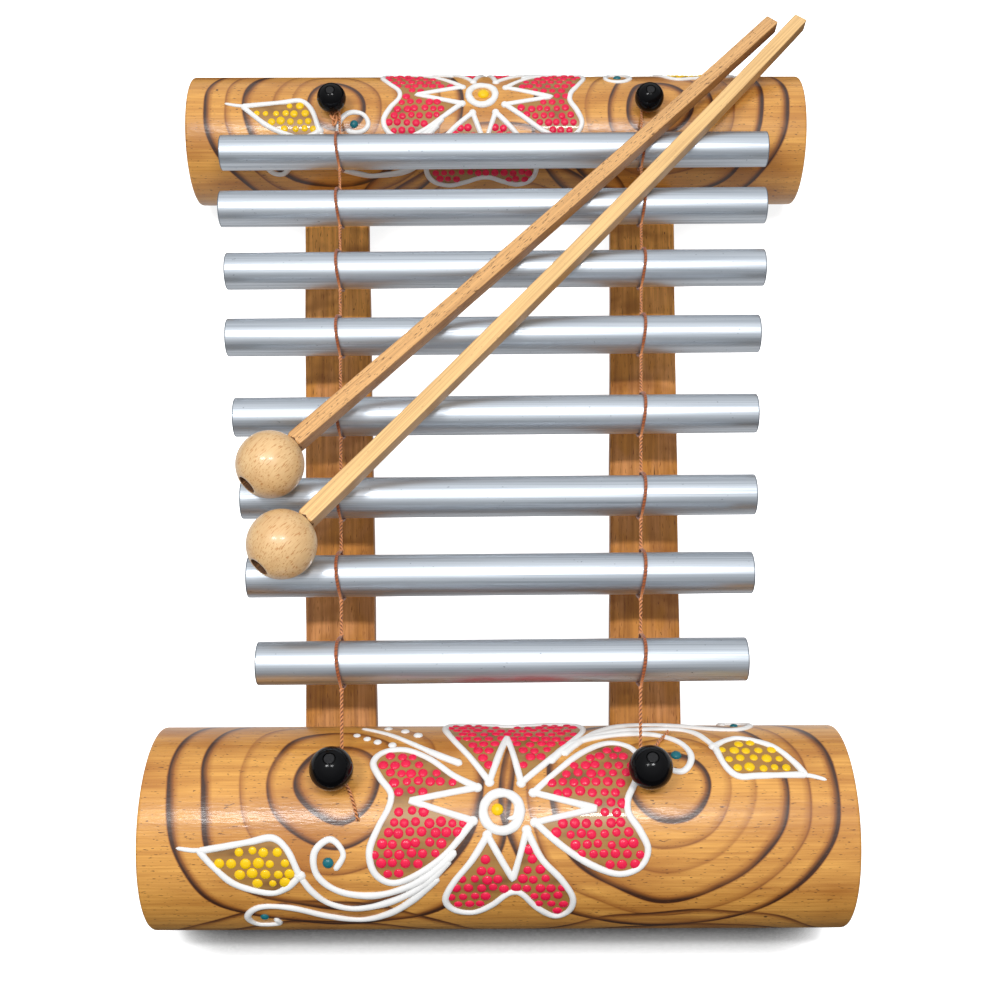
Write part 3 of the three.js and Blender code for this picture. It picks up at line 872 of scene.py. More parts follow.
def cord_end(end, side):
    """Where a cord leaves the inner side of its loop round a peg."""
    foot, out = knob_axis(end, side)
    return foot + out * LOOP_HEIGHT - np.array([SIDES[side] * LOOP_RADIUS, 0, 0])


def crossing(name, start, end):
    """Where the straight cord from start to end meets the middle line of a tube."""
    left, right = long_axis(name, 0)
    y = left[1] + (start[0] - left[0]) * (right[1] - left[1]) / (right[0] - left[0])
    return start + (end - start) * (y - start[1]) / (end[1] - start[1])


def add_ply(shell, path, radius, upright, gone=0.0, closed=False):
    """Adds a round ply along a path; UV is the length from `gone` on, and the turn round the ply."""
    sections = ring(1.0, PLY_SIDES)[None] * np.broadcast_to(radius, len(path))[:, None, None]
    steps = np.linalg.norm(np.roll(path, -1, 0) - path, axis=1)
    row_uv = gone + np.concatenate([[0], np.cumsum(steps)])
    shell.add(swept(path, sections, upright, closed), wrap_rows=closed, row_uv=row_uv)


def twisted(path, turns, upright, spread, closed=False):
    """Two plies that wind round a path, `spread` off it on opposite sides, each with its way out."""
    tangent = heading(path, closed)
    across = unit(np.cross(tangent, upright))
    up = np.cross(across, tangent)
    angle = np.pi / 2 + 2 * np.pi * turns
    out = np.cos(angle)[:, None] * across + np.sin(angle)[:, None] * up
    return (path + spread * out, out), (path - spread * out, -out)


def strand_half(centre, along, up, way, bow):
    """One strand from a tube's top or bottom, on the side of `up`, to where the two strands meet beside it.

    Round the tube it is an arc; from where the tangent to the meeting point leaves, it is straight.
    """
    row = bpy.context.scene.metallophone_row
    radius = TUBE_RADIUS + row.strand_diameter / 2 + STRAND_LIFT
    flat = arc(radius, np.pi / 2, np.arccos(radius / STRAND_REACH), STRAND_ARC_POINTS)
    line = np.linspace(flat[-1], [STRAND_REACH, 0], STRAND_LINE_POINTS)[1:]
    flat = np.vstack([flat, line])
    bows = bow * (1 - (flat[:, :1] / STRAND_REACH) ** 2)
    return centre + flat[:, :1] * along * way + flat[:, 1:] * up + bows * np.cross(along, up)


def cord_stretch(side, tube, way, start, end):
    """One side of a tube's cord: both strands from the tube's middle, then twisted to the halfway point.

    Halfway to the next tube, or at the loop round the peg, the plies of both neighbours meet at one angle,
    because the twist between two tubes is always a whole number of half turns.
    """
    row = bpy.context.scene.metallophone_row
    run = end - start
    along = unit(run)
    up = np.cross(unit(np.cross(along, UP)), along)
    places = sorted((crossing(name, start, end) - start) @ along for name in TUBES)
    here = (crossing(tube, start, end) - start) @ along
    stops = [-STRAND_REACH, *places, np.linalg.norm(run) + STRAND_REACH]
    beyond = stops[stops.index(here) + way]
    first = here + way * STRAND_REACH
    last = beyond - way * STRAND_REACH
    at_peg = beyond in (stops[0], stops[-1])
    stop = last if at_peg else (first + last) / 2
    half_turns = max(2, round(abs(last - first) / (row.ply_turn / 2)))
    gone = np.linspace(first, stop, max(PLY_LEAST_POINTS, int(abs(stop - first) / PLY_STEP)))
    turns = half_turns / 2 * (gone - min(first, last)) / abs(last - first)
    plies = twisted(start + along * gone[:, None], turns, UP, row.ply_diameter / 2)
    plies = sorted(plies, key=lambda ply: -ply[0][0, 2])
    shell = Shell()
    for over, (ply, out) in zip((1, -1), plies):
        loop = strand_half(start + along * here, along, up * over, way, SIDES[side] * STRAND_BOW)[:-1]
        number = np.arange(len(loop) + len(ply))
        thin = np.interp(number, [len(loop) - THINNING, len(loop) + THINNING], [0, 1])
        radius = (row.strand_diameter + thin * (row.ply_diameter - row.strand_diameter)) / 2
        uprights = np.vstack([np.tile(up * over, (len(loop), 1)), out])
        add_ply(shell, np.vstack([loop, ply]), radius, uprights)
    turn = ring(1.0, HOOP_POINTS)
    out = turn[:, :1] * unit(np.cross(along, UP)) + turn[:, 1:] * up
    hoop = start + along * first + HOOP_RADIUS * (out + HOOP_LEAN * turn[:, :1] * along)
    add_ply(shell, hoop, HOOP_THICKNESS, out, SLACK, closed=True)
    name = f"{side}_cord_{tube}_{'far' if way > 0 else 'near'}"
    piece = shell.piece(name, [bpy.data.materials[CORD_MATERIAL]], "copper_cord")
    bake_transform(piece)
    return piece


def cord_ends(side, end):
    """The loop round a peg, twisted of two plies, with a loose end on the near culm or a knot on the far."""
    row = bpy.context.scene.metallophone_row
    foot, out = knob_axis(end, side)
    half = row.ply_diameter / 2
    shell = Shell()
    around = ring(LOOP_RADIUS, LOOP_POINTS)
    across = unit(np.cross([0.0, 1.0, 0.0], out))
    circle = foot + out * LOOP_HEIGHT + around[:, :1] * across + around[:, 1:] * np.cross(out, across)
    turns = LOOP_TURNS * np.linspace(0, 1, len(circle), endpoint=False)
    for ply, lean in twisted(circle, turns, out, half, closed=True):
        add_ply(shell, ply, half, lean, SLACK, closed=True)
    if end == "near":
        culm = CULMS["near"]
        knots = [
            culm.skin(foot[0] + offset * MM, culm.radius * np.radians(lean), LOOP_HEIGHT)
            for offset, lean in TAILS[side]
        ]
        path = even_path(smooth_path(knots), PLY_STEP)
        turns = np.arange(len(path)) * PLY_STEP / row.ply_turn
        for ply, lean in twisted(path, turns, out, half):
            add_ply(shell, ply, half, lean, SLACK)
    elif side == "left":
        turn = np.linspace(0, 2 * np.pi, KNOT_POINTS, endpoint=False)
        across = np.sin(turn) + 2 * np.sin(2 * turn)
        along = np.cos(turn) - 2 * np.cos(2 * turn)
        trefoil = np.stack([across, along, -np.sin(3 * turn)], -1)
        path = cord_end(end, side) + (trefoil * KNOT_SIZE + KNOT_PLACE) * MM
        add_ply(shell, path, KNOT_RADIUS, UP, SLACK, closed=True)
    name = f"{side}_cord_{end}_end"
    piece = shell.piece(name, [bpy.data.materials[CORD_MATERIAL]], "copper_cord")
    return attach(piece, FRAME_BODY)


# Painted sprays


@dataclass(frozen=True)
class Petal:
    """A notched petal in millimetres from the flower's middle, with its heading in degrees.

    Its left and right lobes have their own widths; lean makes the left one longer and the right one shorter.
    Its inner tips lie at tip[0] along it, tip[1] to the left and tip[2] to the right.
    """

    heading: float
    reach: float
    waist: float
    notch: float
    left: float
    right: float
    lean: float = 0.0
    tip: tuple = (10.5, 5.6, 5.6)


NEAR_PETALS = (
    Petal(heading=2, reach=49.3, waist=43, notch=32.2, left=27, right=23, tip=(10.4, 6.4, 3.9)),
    Petal(heading=88, reach=50, waist=44, notch=32.5, left=23, right=28),
    Petal(
        heading=173, reach=46.8, waist=40, notch=33.5, left=29.3, right=20.4, lean=-0.04, tip=(10.5, 4.3, 7.5)
    ),
    Petal(
        heading=277, reach=40.2, waist=28.9, notch=23.7, left=19.8, right=24.5, lean=0.075, tip=(7, 6.9, 6.9)
    ),
)
FAR_PETALS = (
    Petal(heading=-3, reach=48.5, waist=42, notch=33, left=27, right=21),
    Petal(heading=88, reach=50, waist=44, notch=32.5, left=23, right=28),
    Petal(heading=180, reach=49.5, waist=41, notch=33, left=23, right=25, lean=-0.015),
    Petal(heading=271, reach=47, waist=42.5, notch=26, left=25, right=29),
)
# One lobe's edge as shares of the reach and of the half width, its fall to the waist as shares of the dip,
# and its middle
LOBE = [(0.4, 0.54), (0.6, 0.84), (0.79, 1.0), (0.94, 0.9), (1.0, 0.64)]
DIP = [(0.62, 0.36), (0.12, 0.14)]
LOBE_HEART = (0.7, 0.48)
# Strokes on a flower's left, in millimetres from its middle; those on the right are turned half round
BIG_CURL = (
    (-17, -13), (-24, -20), (-33, -26), (-45, -30), (-57, -28.5), (-65, -22), (-66, -13.5), (-60.5, -9),
    (-56, -14), (-59, -20),
)
RING_CURL = (
    (-17, -13), (-24, -20), (-33, -26.5), (-45, -30.5), (-55, -29.5), (-62, -25), (-62.8, -18),
    (-58.8, -13.3), (-53, -13.3), (-50, -17), (-51.2, -20.3), (-55.4, -21.8), (-59.5, -21),
)
WIDE_CURL = (
    (-17, -13), (-24, -20), (-33, -26.5), (-45, -29), (-55, -26), (-62.5, -20.5), (-65.7, -14.2),
    (-63.5, -10.2), (-59.7, -9.3), (-55.8, -11), (-54.7, -14.3), (-56.3, -18.5), (-60, -20.3),
)
HIGH_CURL = (
    (-16, -18.3), (-22.8, -26.5), (-31.4, -31.3), (-43.9, -34.6), (-53.3, -34.5), (-59.5, -32.1),
    (-64.6, -27.8), (-67.1, -22.2), (-66.1, -17.5), (-63, -14.6), (-58, -15.6),
)
LEAF_STEM = ((-19, -16), (-28, -25.5), (-40, -33), (-52, -36.5), (-61, -34), (-67, -28.5))
HIGH_STEM = ((-21, -22), (-28.6, -30.5), (-36.4, -35.3), (-46.1, -38.5), (-60.5, -39.6), (-69.5, -36.2))
LOW_CURL = (
    (-23, -22.5), (-32, -32), (-41, -39.5), (-51, -43.5), (-62, -41), (-75, -36), (-86, -35.5), (-91, -41),
    (-88, -47), (-80.5, -46.5), (-81.5, -42.5),
)
FLAT_CURL = (
    (-21, -22), (-29.4, -35.7), (-45.3, -40.4), (-53.3, -40), (-62.1, -37.9), (-72.8, -33.9),
    (-84.2, -30.9), (-92.6, -32.8), (-95.1, -37.6), (-92, -41.7), (-87.3, -42.1), (-83.8, -38.3),
)
LEAF_FOOT = (-71.2, -22)
LEAF_TAIL_END = (-114, -11.8)
LEAF_POINT = (-106, -12.8)
LEAF_UPPER = [(-97.5, -11.4), (-88, -9.7), (-80.5, -8.5), (-75.3, -12.8)]
LEAF_LOWER = [(-76, -26.6), (-82, -28.8), (-93.5, -25.2), (-101, -18.5)]
LEAF_HEART = (-84, -18)
LEAF_TAIL = [(-102, -12.4), (-108, -12.6), LEAF_TAIL_END]
TOP_STROKE = [(-15, 18), (-24, 22.4), (-33, 28.3), (-42, 35), (-53, 42)]
WHITE_DOTS = [(-54, 34.7), (-50, 32), (-46, 29.8), (-40.5, 27.9), (-43, 41.8), (-36.5, 38.4), (-31.5, 34.7)]
EYE_MIDDLE = (-0.9, 0.2)
EYE_RADIUS = 6.5
EYE_SIDES = 40
EYE_TAIL = ((4.4, 4.2), (4.4, 1), (3.4, -1.7), (0.9, -2.3))


@dataclass(frozen=True)
class Branch:
    """One side's strokes: their turn in degrees, both curls with an eye each, and the leaf with its stem.

    The leaf goes from its foot to the end of its tail, and belly is the share of its lower half that is kept.
    """

    turn: float
    foot: tuple
    tail: tuple
    curl: tuple
    eye: tuple
    low_curl: tuple = LOW_CURL
    low_eye: tuple = (-85, -41.4)
    stem: tuple = LEAF_STEM
    belly: float = 1.0


NEAR_BRANCHES = (
    Branch(turn=0, foot=LEAF_FOOT, tail=LEAF_TAIL_END, curl=BIG_CURL, eye=(-61.3, -17.2)),
    Branch(
        turn=180, foot=(-76.1, -26.4), tail=(-114, -11.1), curl=HIGH_CURL, eye=(-61.8, -21.9),
        low_curl=np.add(LOW_CURL, (-1.5, -3.5)), low_eye=(-86.5, -44.9), stem=HIGH_STEM,
    ),
)
FAR_BRANCHES = (
    Branch(
        turn=-3.5, foot=LEAF_FOOT, tail=LEAF_TAIL_END, curl=RING_CURL, eye=(-56.2, -18.2),
        low_curl=FLAT_CURL, low_eye=(-89, -37.3), belly=0.62,
    ),
    Branch(turn=180, foot=(-77.7, -25.6), tail=(-120.5, -15.4), curl=WIDE_CURL, eye=(-60.1, -14.3)),
)


def spin(degrees):
    """The matrix that turns rows of (along, around) by an angle when they are multiplied by it."""
    angle = np.radians(degrees)
    return np.array([[np.cos(angle), np.sin(angle)], [-np.sin(angle), np.cos(angle)]])


@dataclass(frozen=True)
class Spray:
    """Where a spray is painted on its culm: its flower's middle in millimetres, sizes, petals, branches."""

    end: str
    along: float
    around: float
    flower_size: float
    branch_size: float
    petals: tuple
    branches: tuple
    eye_dot: tuple
    eye_dot_radius: float
    eye_tail: tuple = ()

    def flower(self, points):
        """Places, along and around the culm in metres, of points of the flower."""
        return (np.asarray(points, float) * self.flower_size + [self.along, self.around]) * MM

    def branch(self, points, turn):
        """Places, along and around the culm in metres, of points of a branch with this turn."""
        return (np.asarray(points, float) @ spin(turn) * self.branch_size + [self.along, self.around]) * MM


SPRAYS = [
    Spray(
        end="near", along=2.0, around=-3.4, flower_size=1.0, branch_size=1.0, petals=NEAR_PETALS,
        branches=NEAR_BRANCHES, eye_dot=(-2.5, 0.9), eye_dot_radius=2.2, eye_tail=EYE_TAIL,
    ),
    Spray(
        end="far", along=-5.8, around=1.7, flower_size=0.97, branch_size=1.07, petals=FAR_PETALS,
        branches=FAR_BRANCHES, eye_dot=(-0.2, 0.4), eye_dot_radius=2.8,
    ),
]


def lobe_edge(petal, way):
    """One half of a petal's edge, left for way 1 and right for -1, from its inner tip towards the waist."""
    width, tip = (petal.left, petal.tip[1]) if way > 0 else (petal.right, petal.tip[2])
    reach = petal.reach * (1 + way * petal.lean)
    lobe = [(reach * along, width * across) for along, across in LOBE]
    fall = [(petal.waist + (reach - petal.waist) * along, width * across) for along, across in DIP]
    return np.array([(petal.tip[0], tip), *lobe, *fall]) * [1, way]


def petal_outline(petal):
    """A petal's outline, its two lobes, a middle for each and its inner tips, turned to the petal's heading.

    The outer edge is a smooth curve from one inner tip to the other, and two straight lines make the notch.
    """
    left, right = lobe_edge(petal, 1), lobe_edge(petal, -1)
    outer = smooth_path(np.vstack([left, [(petal.waist, 0)], right[::-1]]))
    middle = len(outer) // 2
    notch = [[petal.notch, 0.0]]
    hearts = np.array([(petal.reach, petal.left), (petal.reach, -petal.right)]) * LOBE_HEART
    turn = spin(petal.heading)
    lobes = [np.vstack([outer[: middle + 1], notch]) @ turn, np.vstack([outer[middle:], notch]) @ turn]
    return np.vstack([outer, notch]) @ turn, lobes, hearts @ turn, outer[[0, -1]] @ turn


def leaf_at(points, branch):
    """Moves, turns and scales points of the drawn leaf so that its foot and tail's end meet the branch's."""
    drawn = np.asarray(points, float) @ [1, 1j]
    start, end = complex(*LEAF_FOOT), complex(*LEAF_TAIL_END)
    foot, tail = complex(*branch.foot), complex(*branch.tail)
    moved = foot + (drawn - start) / (end - start) * (tail - foot)
    return np.stack([moved.real, moved.imag], -1)


def leaf_outline(belly):
    """A pointed leaf: one smooth edge from its point over the top to its foot, and another back underneath.

    The lower edge's distance from the line between foot and point is scaled by belly.
    """
    axis = unit(np.subtract(LEAF_POINT, LEAF_FOOT))
    low = np.subtract(LEAF_LOWER, LEAF_FOOT)
    on_axis = (low @ axis)[:, None] * axis
    low = LEAF_FOOT + on_axis + belly * (low - on_axis)
    upper = smooth_path([LEAF_POINT, *LEAF_UPPER, LEAF_FOOT])
    lower = smooth_path([LEAF_FOOT, *low, LEAF_POINT])
    return np.vstack([upper[:-1], lower[:-1]])


def inside(points, outline):
    """Tells which points lie in an outline: a line to the right crosses its edges an odd number of times."""
    a = outline
    b = np.roll(outline, -1, 0)
    x, y = points[:, :1], points[:, 1:]
    spans = (a[:, 1] > y) != (b[:, 1] > y)
    slope = (b[:, 0] - a[:, 0]) / np.where(b[:, 1] == a[:, 1], 1e-12, b[:, 1] - a[:, 1])
    return (spans & (x < a[:, 0] + (y - a[:, 1]) * slope)).sum(1) % 2 == 1


# The grid of dots: most dots on a side, and the distance of its rows and the nudge as shares of the spacing
GRID_DOTS = 60
GRID_ROW = 0.87
GRID_NUDGE = 0.12


def dot_places(outline, spacing, margin, seed):
    """A loose triangular grid of points in an outline, each nudged a little, kept clear of the edge."""
    rng = np.random.default_rng(seed)
    low, high = outline.min(0), outline.max(0)
    i, j = np.meshgrid(np.arange(GRID_DOTS), np.arange(GRID_DOTS), indexing="ij")
    grid = np.stack([i + 0.5 * (j % 2), j * GRID_ROW], -1).reshape(-1, 2) * spacing + low
    grid = grid + rng.uniform(-GRID_NUDGE, GRID_NUDGE, grid.shape) * spacing
    grid = grid[(grid < high).all(1)]
    edge = even_path(np.vstack([outline, outline[:1]]), margin / 3)
    clear = np.linalg.norm(grid[:, None] - edge[None], axis=-1).min(1) > margin
    return grid[inside(grid, outline) & clear]


# A dot's sides, the angles up its dome at which it has a ring, and how deep the lowest ring sinks
DOT_SIDES = 10
DOT_RISE = np.radians([0, 0, 28, 52, 74])
DOT_SINK = 0.35


def dots(culm, places, radii, height):
    """Low domes on the skin: rings that shrink upwards as a quarter ellipse, sunk a little at the foot."""
    turn = ring(1.0, DOT_SIDES)
    lift = np.sin(DOT_RISE)
    lift[0] = -DOT_SINK
    width = radii[:, None, None] * np.cos(DOT_RISE)[:, None]
    along = places[:, 0, None, None] + width * turn[:, 0]
    around = places[:, 1, None, None] + width * turn[:, 1]
    return culm.skin(along, around, (height * radii)[:, None, None] * lift[:, None])


STROKE_STEP = 0.7 * MM
# How deep paint goes into the skin, and a stroke's half width down there as a share of its own
STROKE_ROOT = 0.3 * MM
STROKE_FOOT = 0.8
ARCH_POINTS = 8
# How uneven a stroke is, closed or open, as a share of its width, and the steps in an open one's wave
CLOSED_SWELL = 0.1
OPEN_SWELL = 0.12
OPEN_WAVE = 40
# Square of the least share of its width that a stroke has at its ends
STROKE_TIP = 0.03
WASH_STEP = 0.8 * MM
WASH_THICKNESS = 0.14 * MM
WASH_RINGS = 9
# The innermost ring's share of the way from a wash's heart to its edge
WASH_HEART = 0.04


def stroke(culm, path, seed, closed=False, first=1.0, last=1.0):
    """A squeezed line of paint: a low arch carried along a path, uneven in width, with rounded ends.

    The width goes from its share `first` to its share `last`.
    """
    paint = bpy.context.scene.metallophone_paint
    half = paint.line_width / 2
    if closed:
        path = even_path(np.vstack([path, path[:1]]), STROKE_STEP)[:-1]
        wave = CLOSED_SWELL * wobble(len(path), len(path) / 4, seed)
    else:
        path = even_path(path, STROKE_STEP)
        wave = OPEN_SWELL * wobble(len(path), OPEN_WAVE, seed)
    swell = np.linspace(first, last, len(path)) * (1 + wave)
    if not closed:
        number = np.arange(len(path))
        near_end = np.clip(np.minimum(number, number[::-1]) * STROKE_STEP / half, 0, 1)
        swell *= np.sqrt(np.clip(1 - (1 - near_end) ** 2, STROKE_TIP, 1))
    arch = arc(1.0, 0, np.pi, ARCH_POINTS) * [half, paint.line_height]
    foot = STROKE_FOOT * half
    section = np.vstack([arch, [(-foot, -STROKE_ROOT), (foot, -STROKE_ROOT)]])
    tangent = heading(path, closed)
    across = swell[:, None] * section[None, :, 0]
    lift = swell[:, None] * section[None, :, 1]
    return culm.skin(path[:, :1] - tangent[:, 1:] * across, path[:, 1:] + tangent[:, :1] * across, lift)


def wash_patch(culm, outline, heart):
    """A thin closed skin of paint: its grid runs from the heart to the outline on top and back underneath."""
    edge = even_path(np.vstack([outline, outline[:1]]), WASH_STEP)[:-1]
    out = np.linspace(WASH_HEART, 1, WASH_RINGS)
    share = np.concatenate([out, out[::-1]])
    lift = np.repeat([WASH_THICKNESS, -STROKE_ROOT], len(out))
    flat = heart + share[:, None, None] * (edge - heart)[None]
    return culm.skin(flat[..., 0], flat[..., 1], lift[:, None])


# Each kind of paint with its material's name
PAINTS = {
    "wash": "thinned brown paint",
    "lines": "white acrylic, squeezed",
    "crimson_dots": "crimson acrylic, dotted",
    "yellow_dots": "yellow acrylic, dotted",
    "teal_dots": "teal acrylic, dotted",
}
# First seed of each kind of stroke or field of dots, and the seed of the dots' sizes
SEEDS = {
    "petal": 0,
    "sizes": 7,
    "leaf": 11,
    "tail": 15,
    "leaf dots": 21,
    "curl": 31,
    "top stroke": 41,
    "eye": 51,
    "eye tail": 52,
}
# Heights of domes as shares of their radii
FIELD_HEIGHT = 0.42
ROW_HEIGHT = 0.45
FOOT_HEIGHT = 0.55
BLOB_HEIGHT = 0.6
# Radii of domes in millimetres, and the shares of the usual size that dots in a field have
TIP_RADII = np.array([1.8, 1.8])
FOOT_RADII = np.array([2.1])
CURL_EYE_RADII = np.array([2.0, 1.6])
ROW_RADII = np.linspace(1.4, 1.8, len(WHITE_DOTS))
PETAL_DOT_SIZES = (0.84, 1.08)
LEAF_DOT_SIZES = (0.75, 1.18)
LEAF_DOT_SPACING = 1.1
# Clear gap between a dot and the white line beside it, as a share of the dot
DOT_GAP = 0.1


def dot_field(culm, edge, spread, seed, sizes, rng):
    """Domes over the inside of an edge, spread times the usual spacing apart, of random size."""
    paint = bpy.context.scene.metallophone_paint
    margin = paint.line_width / 2 + DOT_GAP * paint.dot_diameter
    places = dot_places(edge, paint.dot_spacing * spread, margin, seed)
    radii = paint.dot_diameter / 2 * rng.uniform(*sizes, len(places))
    return dots(culm, places, radii, FIELD_HEIGHT)


def paint_flower(spray, shells, rng):
    """Paints petals with white blobs at their inner tips, and the eye: a ring that curls in, and a dot."""
    culm = CULMS[spray.end]
    lines = shells["lines"]
    for number, petal in enumerate(spray.petals):
        outline, lobes, hearts, tips = petal_outline(petal)
        edge = spray.flower(outline)
        seed = SEEDS["petal"] + number
        lines.add(stroke(culm, edge, seed, closed=True), wrap_rows=True)
        lines.add(dots(culm, spray.flower(tips), TIP_RADII * MM, BLOB_HEIGHT))
        for lobe, heart in zip(lobes, hearts):
            shells["wash"].add(wash_patch(culm, spray.flower(lobe), spray.flower(heart)))
        shells["crimson_dots"].add(dot_field(culm, edge, 1, seed, PETAL_DOT_SIZES, rng))
    eye = spray.flower(ring(EYE_RADIUS, EYE_SIDES) + EYE_MIDDLE)
    lines.add(stroke(culm, eye, SEEDS["eye"], closed=True, first=1.4, last=1.4), wrap_rows=True)
    if spray.eye_tail:
        tail = spray.flower(smooth_path(spray.eye_tail))
        lines.add(stroke(culm, tail, SEEDS["eye tail"], first=1.3, last=0.5))
    radii = np.array([spray.eye_dot_radius * MM])
    shells["yellow_dots"].add(dots(culm, spray.flower([spray.eye_dot]), radii, BLOB_HEIGHT))


def paint_branch(spray, branch, number, shells, rng):
    """Paints one side's leaf with its tail and dots, the curls and the dots in their eyes."""
    culm = CULMS[spray.end]
    lines = shells["lines"]
    turn = branch.turn
    edge = spray.branch(leaf_at(leaf_outline(branch.belly), branch), turn)
    lines.add(stroke(culm, edge, SEEDS["leaf"] + number, closed=True), wrap_rows=True)
    tail = spray.branch(leaf_at(smooth_path(LEAF_TAIL), branch), turn)
    lines.add(stroke(culm, tail, SEEDS["tail"], first=0.9, last=0.5))
    lines.add(dots(culm, spray.branch([branch.foot], turn), FOOT_RADII * MM, FOOT_HEIGHT))
    heart = spray.branch(leaf_at([LEAF_HEART], branch), turn)[0]
    shells["wash"].add(wash_patch(culm, edge, heart))
    seed = SEEDS["leaf dots"] + number
    shells["yellow_dots"].add(dot_field(culm, edge, LEAF_DOT_SPACING, seed, LEAF_DOT_SIZES, rng))
    for curl, knots in enumerate((branch.curl, (*branch.stem, branch.foot), branch.low_curl)):
        path = spray.branch(smooth_path(knots), turn)
        lines.add(stroke(culm, path, SEEDS["curl"] + curl, first=1.2, last=0.9))
    places = spray.branch([branch.eye, branch.low_eye], turn)
    shells["teal_dots"].add(dots(culm, places, CURL_EYE_RADII * MM, BLOB_HEIGHT))


def paint_spray(spray):
    """Paints one spray: washes, white lines, crimson, yellow and teal dots, each kind as one piece."""
    culm = CULMS[spray.end]
    shells = {kind: Shell() for kind in PAINTS}
    rng = np.random.default_rng(SEEDS["sizes"])
    paint_flower(spray, shells, rng)
    for number, branch in enumerate(spray.branches):
        paint_branch(spray, branch, number, shells, rng)
    turn = spray.branches[0].turn
    path = spray.branch(smooth_path(TOP_STROKE), turn)
    shells["lines"].add(stroke(culm, path, SEEDS["top stroke"], first=1.2, last=0.6))
    shells["lines"].add(dots(culm, spray.branch(WHITE_DOTS, turn), ROW_RADII * MM, ROW_HEIGHT))
    for kind, shell in shells.items():
        name = f"{spray.end}_spray_{kind}"
        piece = shell.piece(name, [bpy.data.materials[PAINTS[kind]]], "bamboo", sharp=70)
        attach(piece, FRAME_BODY)


# Operators


def stand(made, across, up, back, place):
    """Puts a camera or a lamp in its place, with its axes along these directions; it looks against `back`."""
    matrix = np.eye(4)
    matrix[:3] = np.stack([across, up, back, place], 1)
    made.matrix_world = Matrix(matrix.tolist())
    bpy.context.scene.collection.objects.link(made)


SENSOR_WIDTH = 36
CLIP_START = 10 * MM
FLOOR_HALF = 4.0
# How far before and behind each culm's axis the floor's glow fades
NEAR_FADE = 30 * MM
FAR_FADE = 10 * MM
# Shares of open sky over the floor between which its shade fades out
SHADE_RANGE = (0.46, 0.86)
# A little over 1, so that the bluish sky is plain white to the camera
SKY_WHITE = 1.05
SKY_TINT = (0.96, 0.98, 1.0, 1)
# The studio's light at the horizon and overhead, as shares of the fill
FILL_RANGE = (0.85, 1.1)
# The studio's brightness in reflections by height, and what its back adds to it
MIRROR_STOPS = [(0.0, 0.46), (0.45, 0.63), (0.8, 0.95), (1.0, 1.0)]
MIRROR_BACK = 0.22


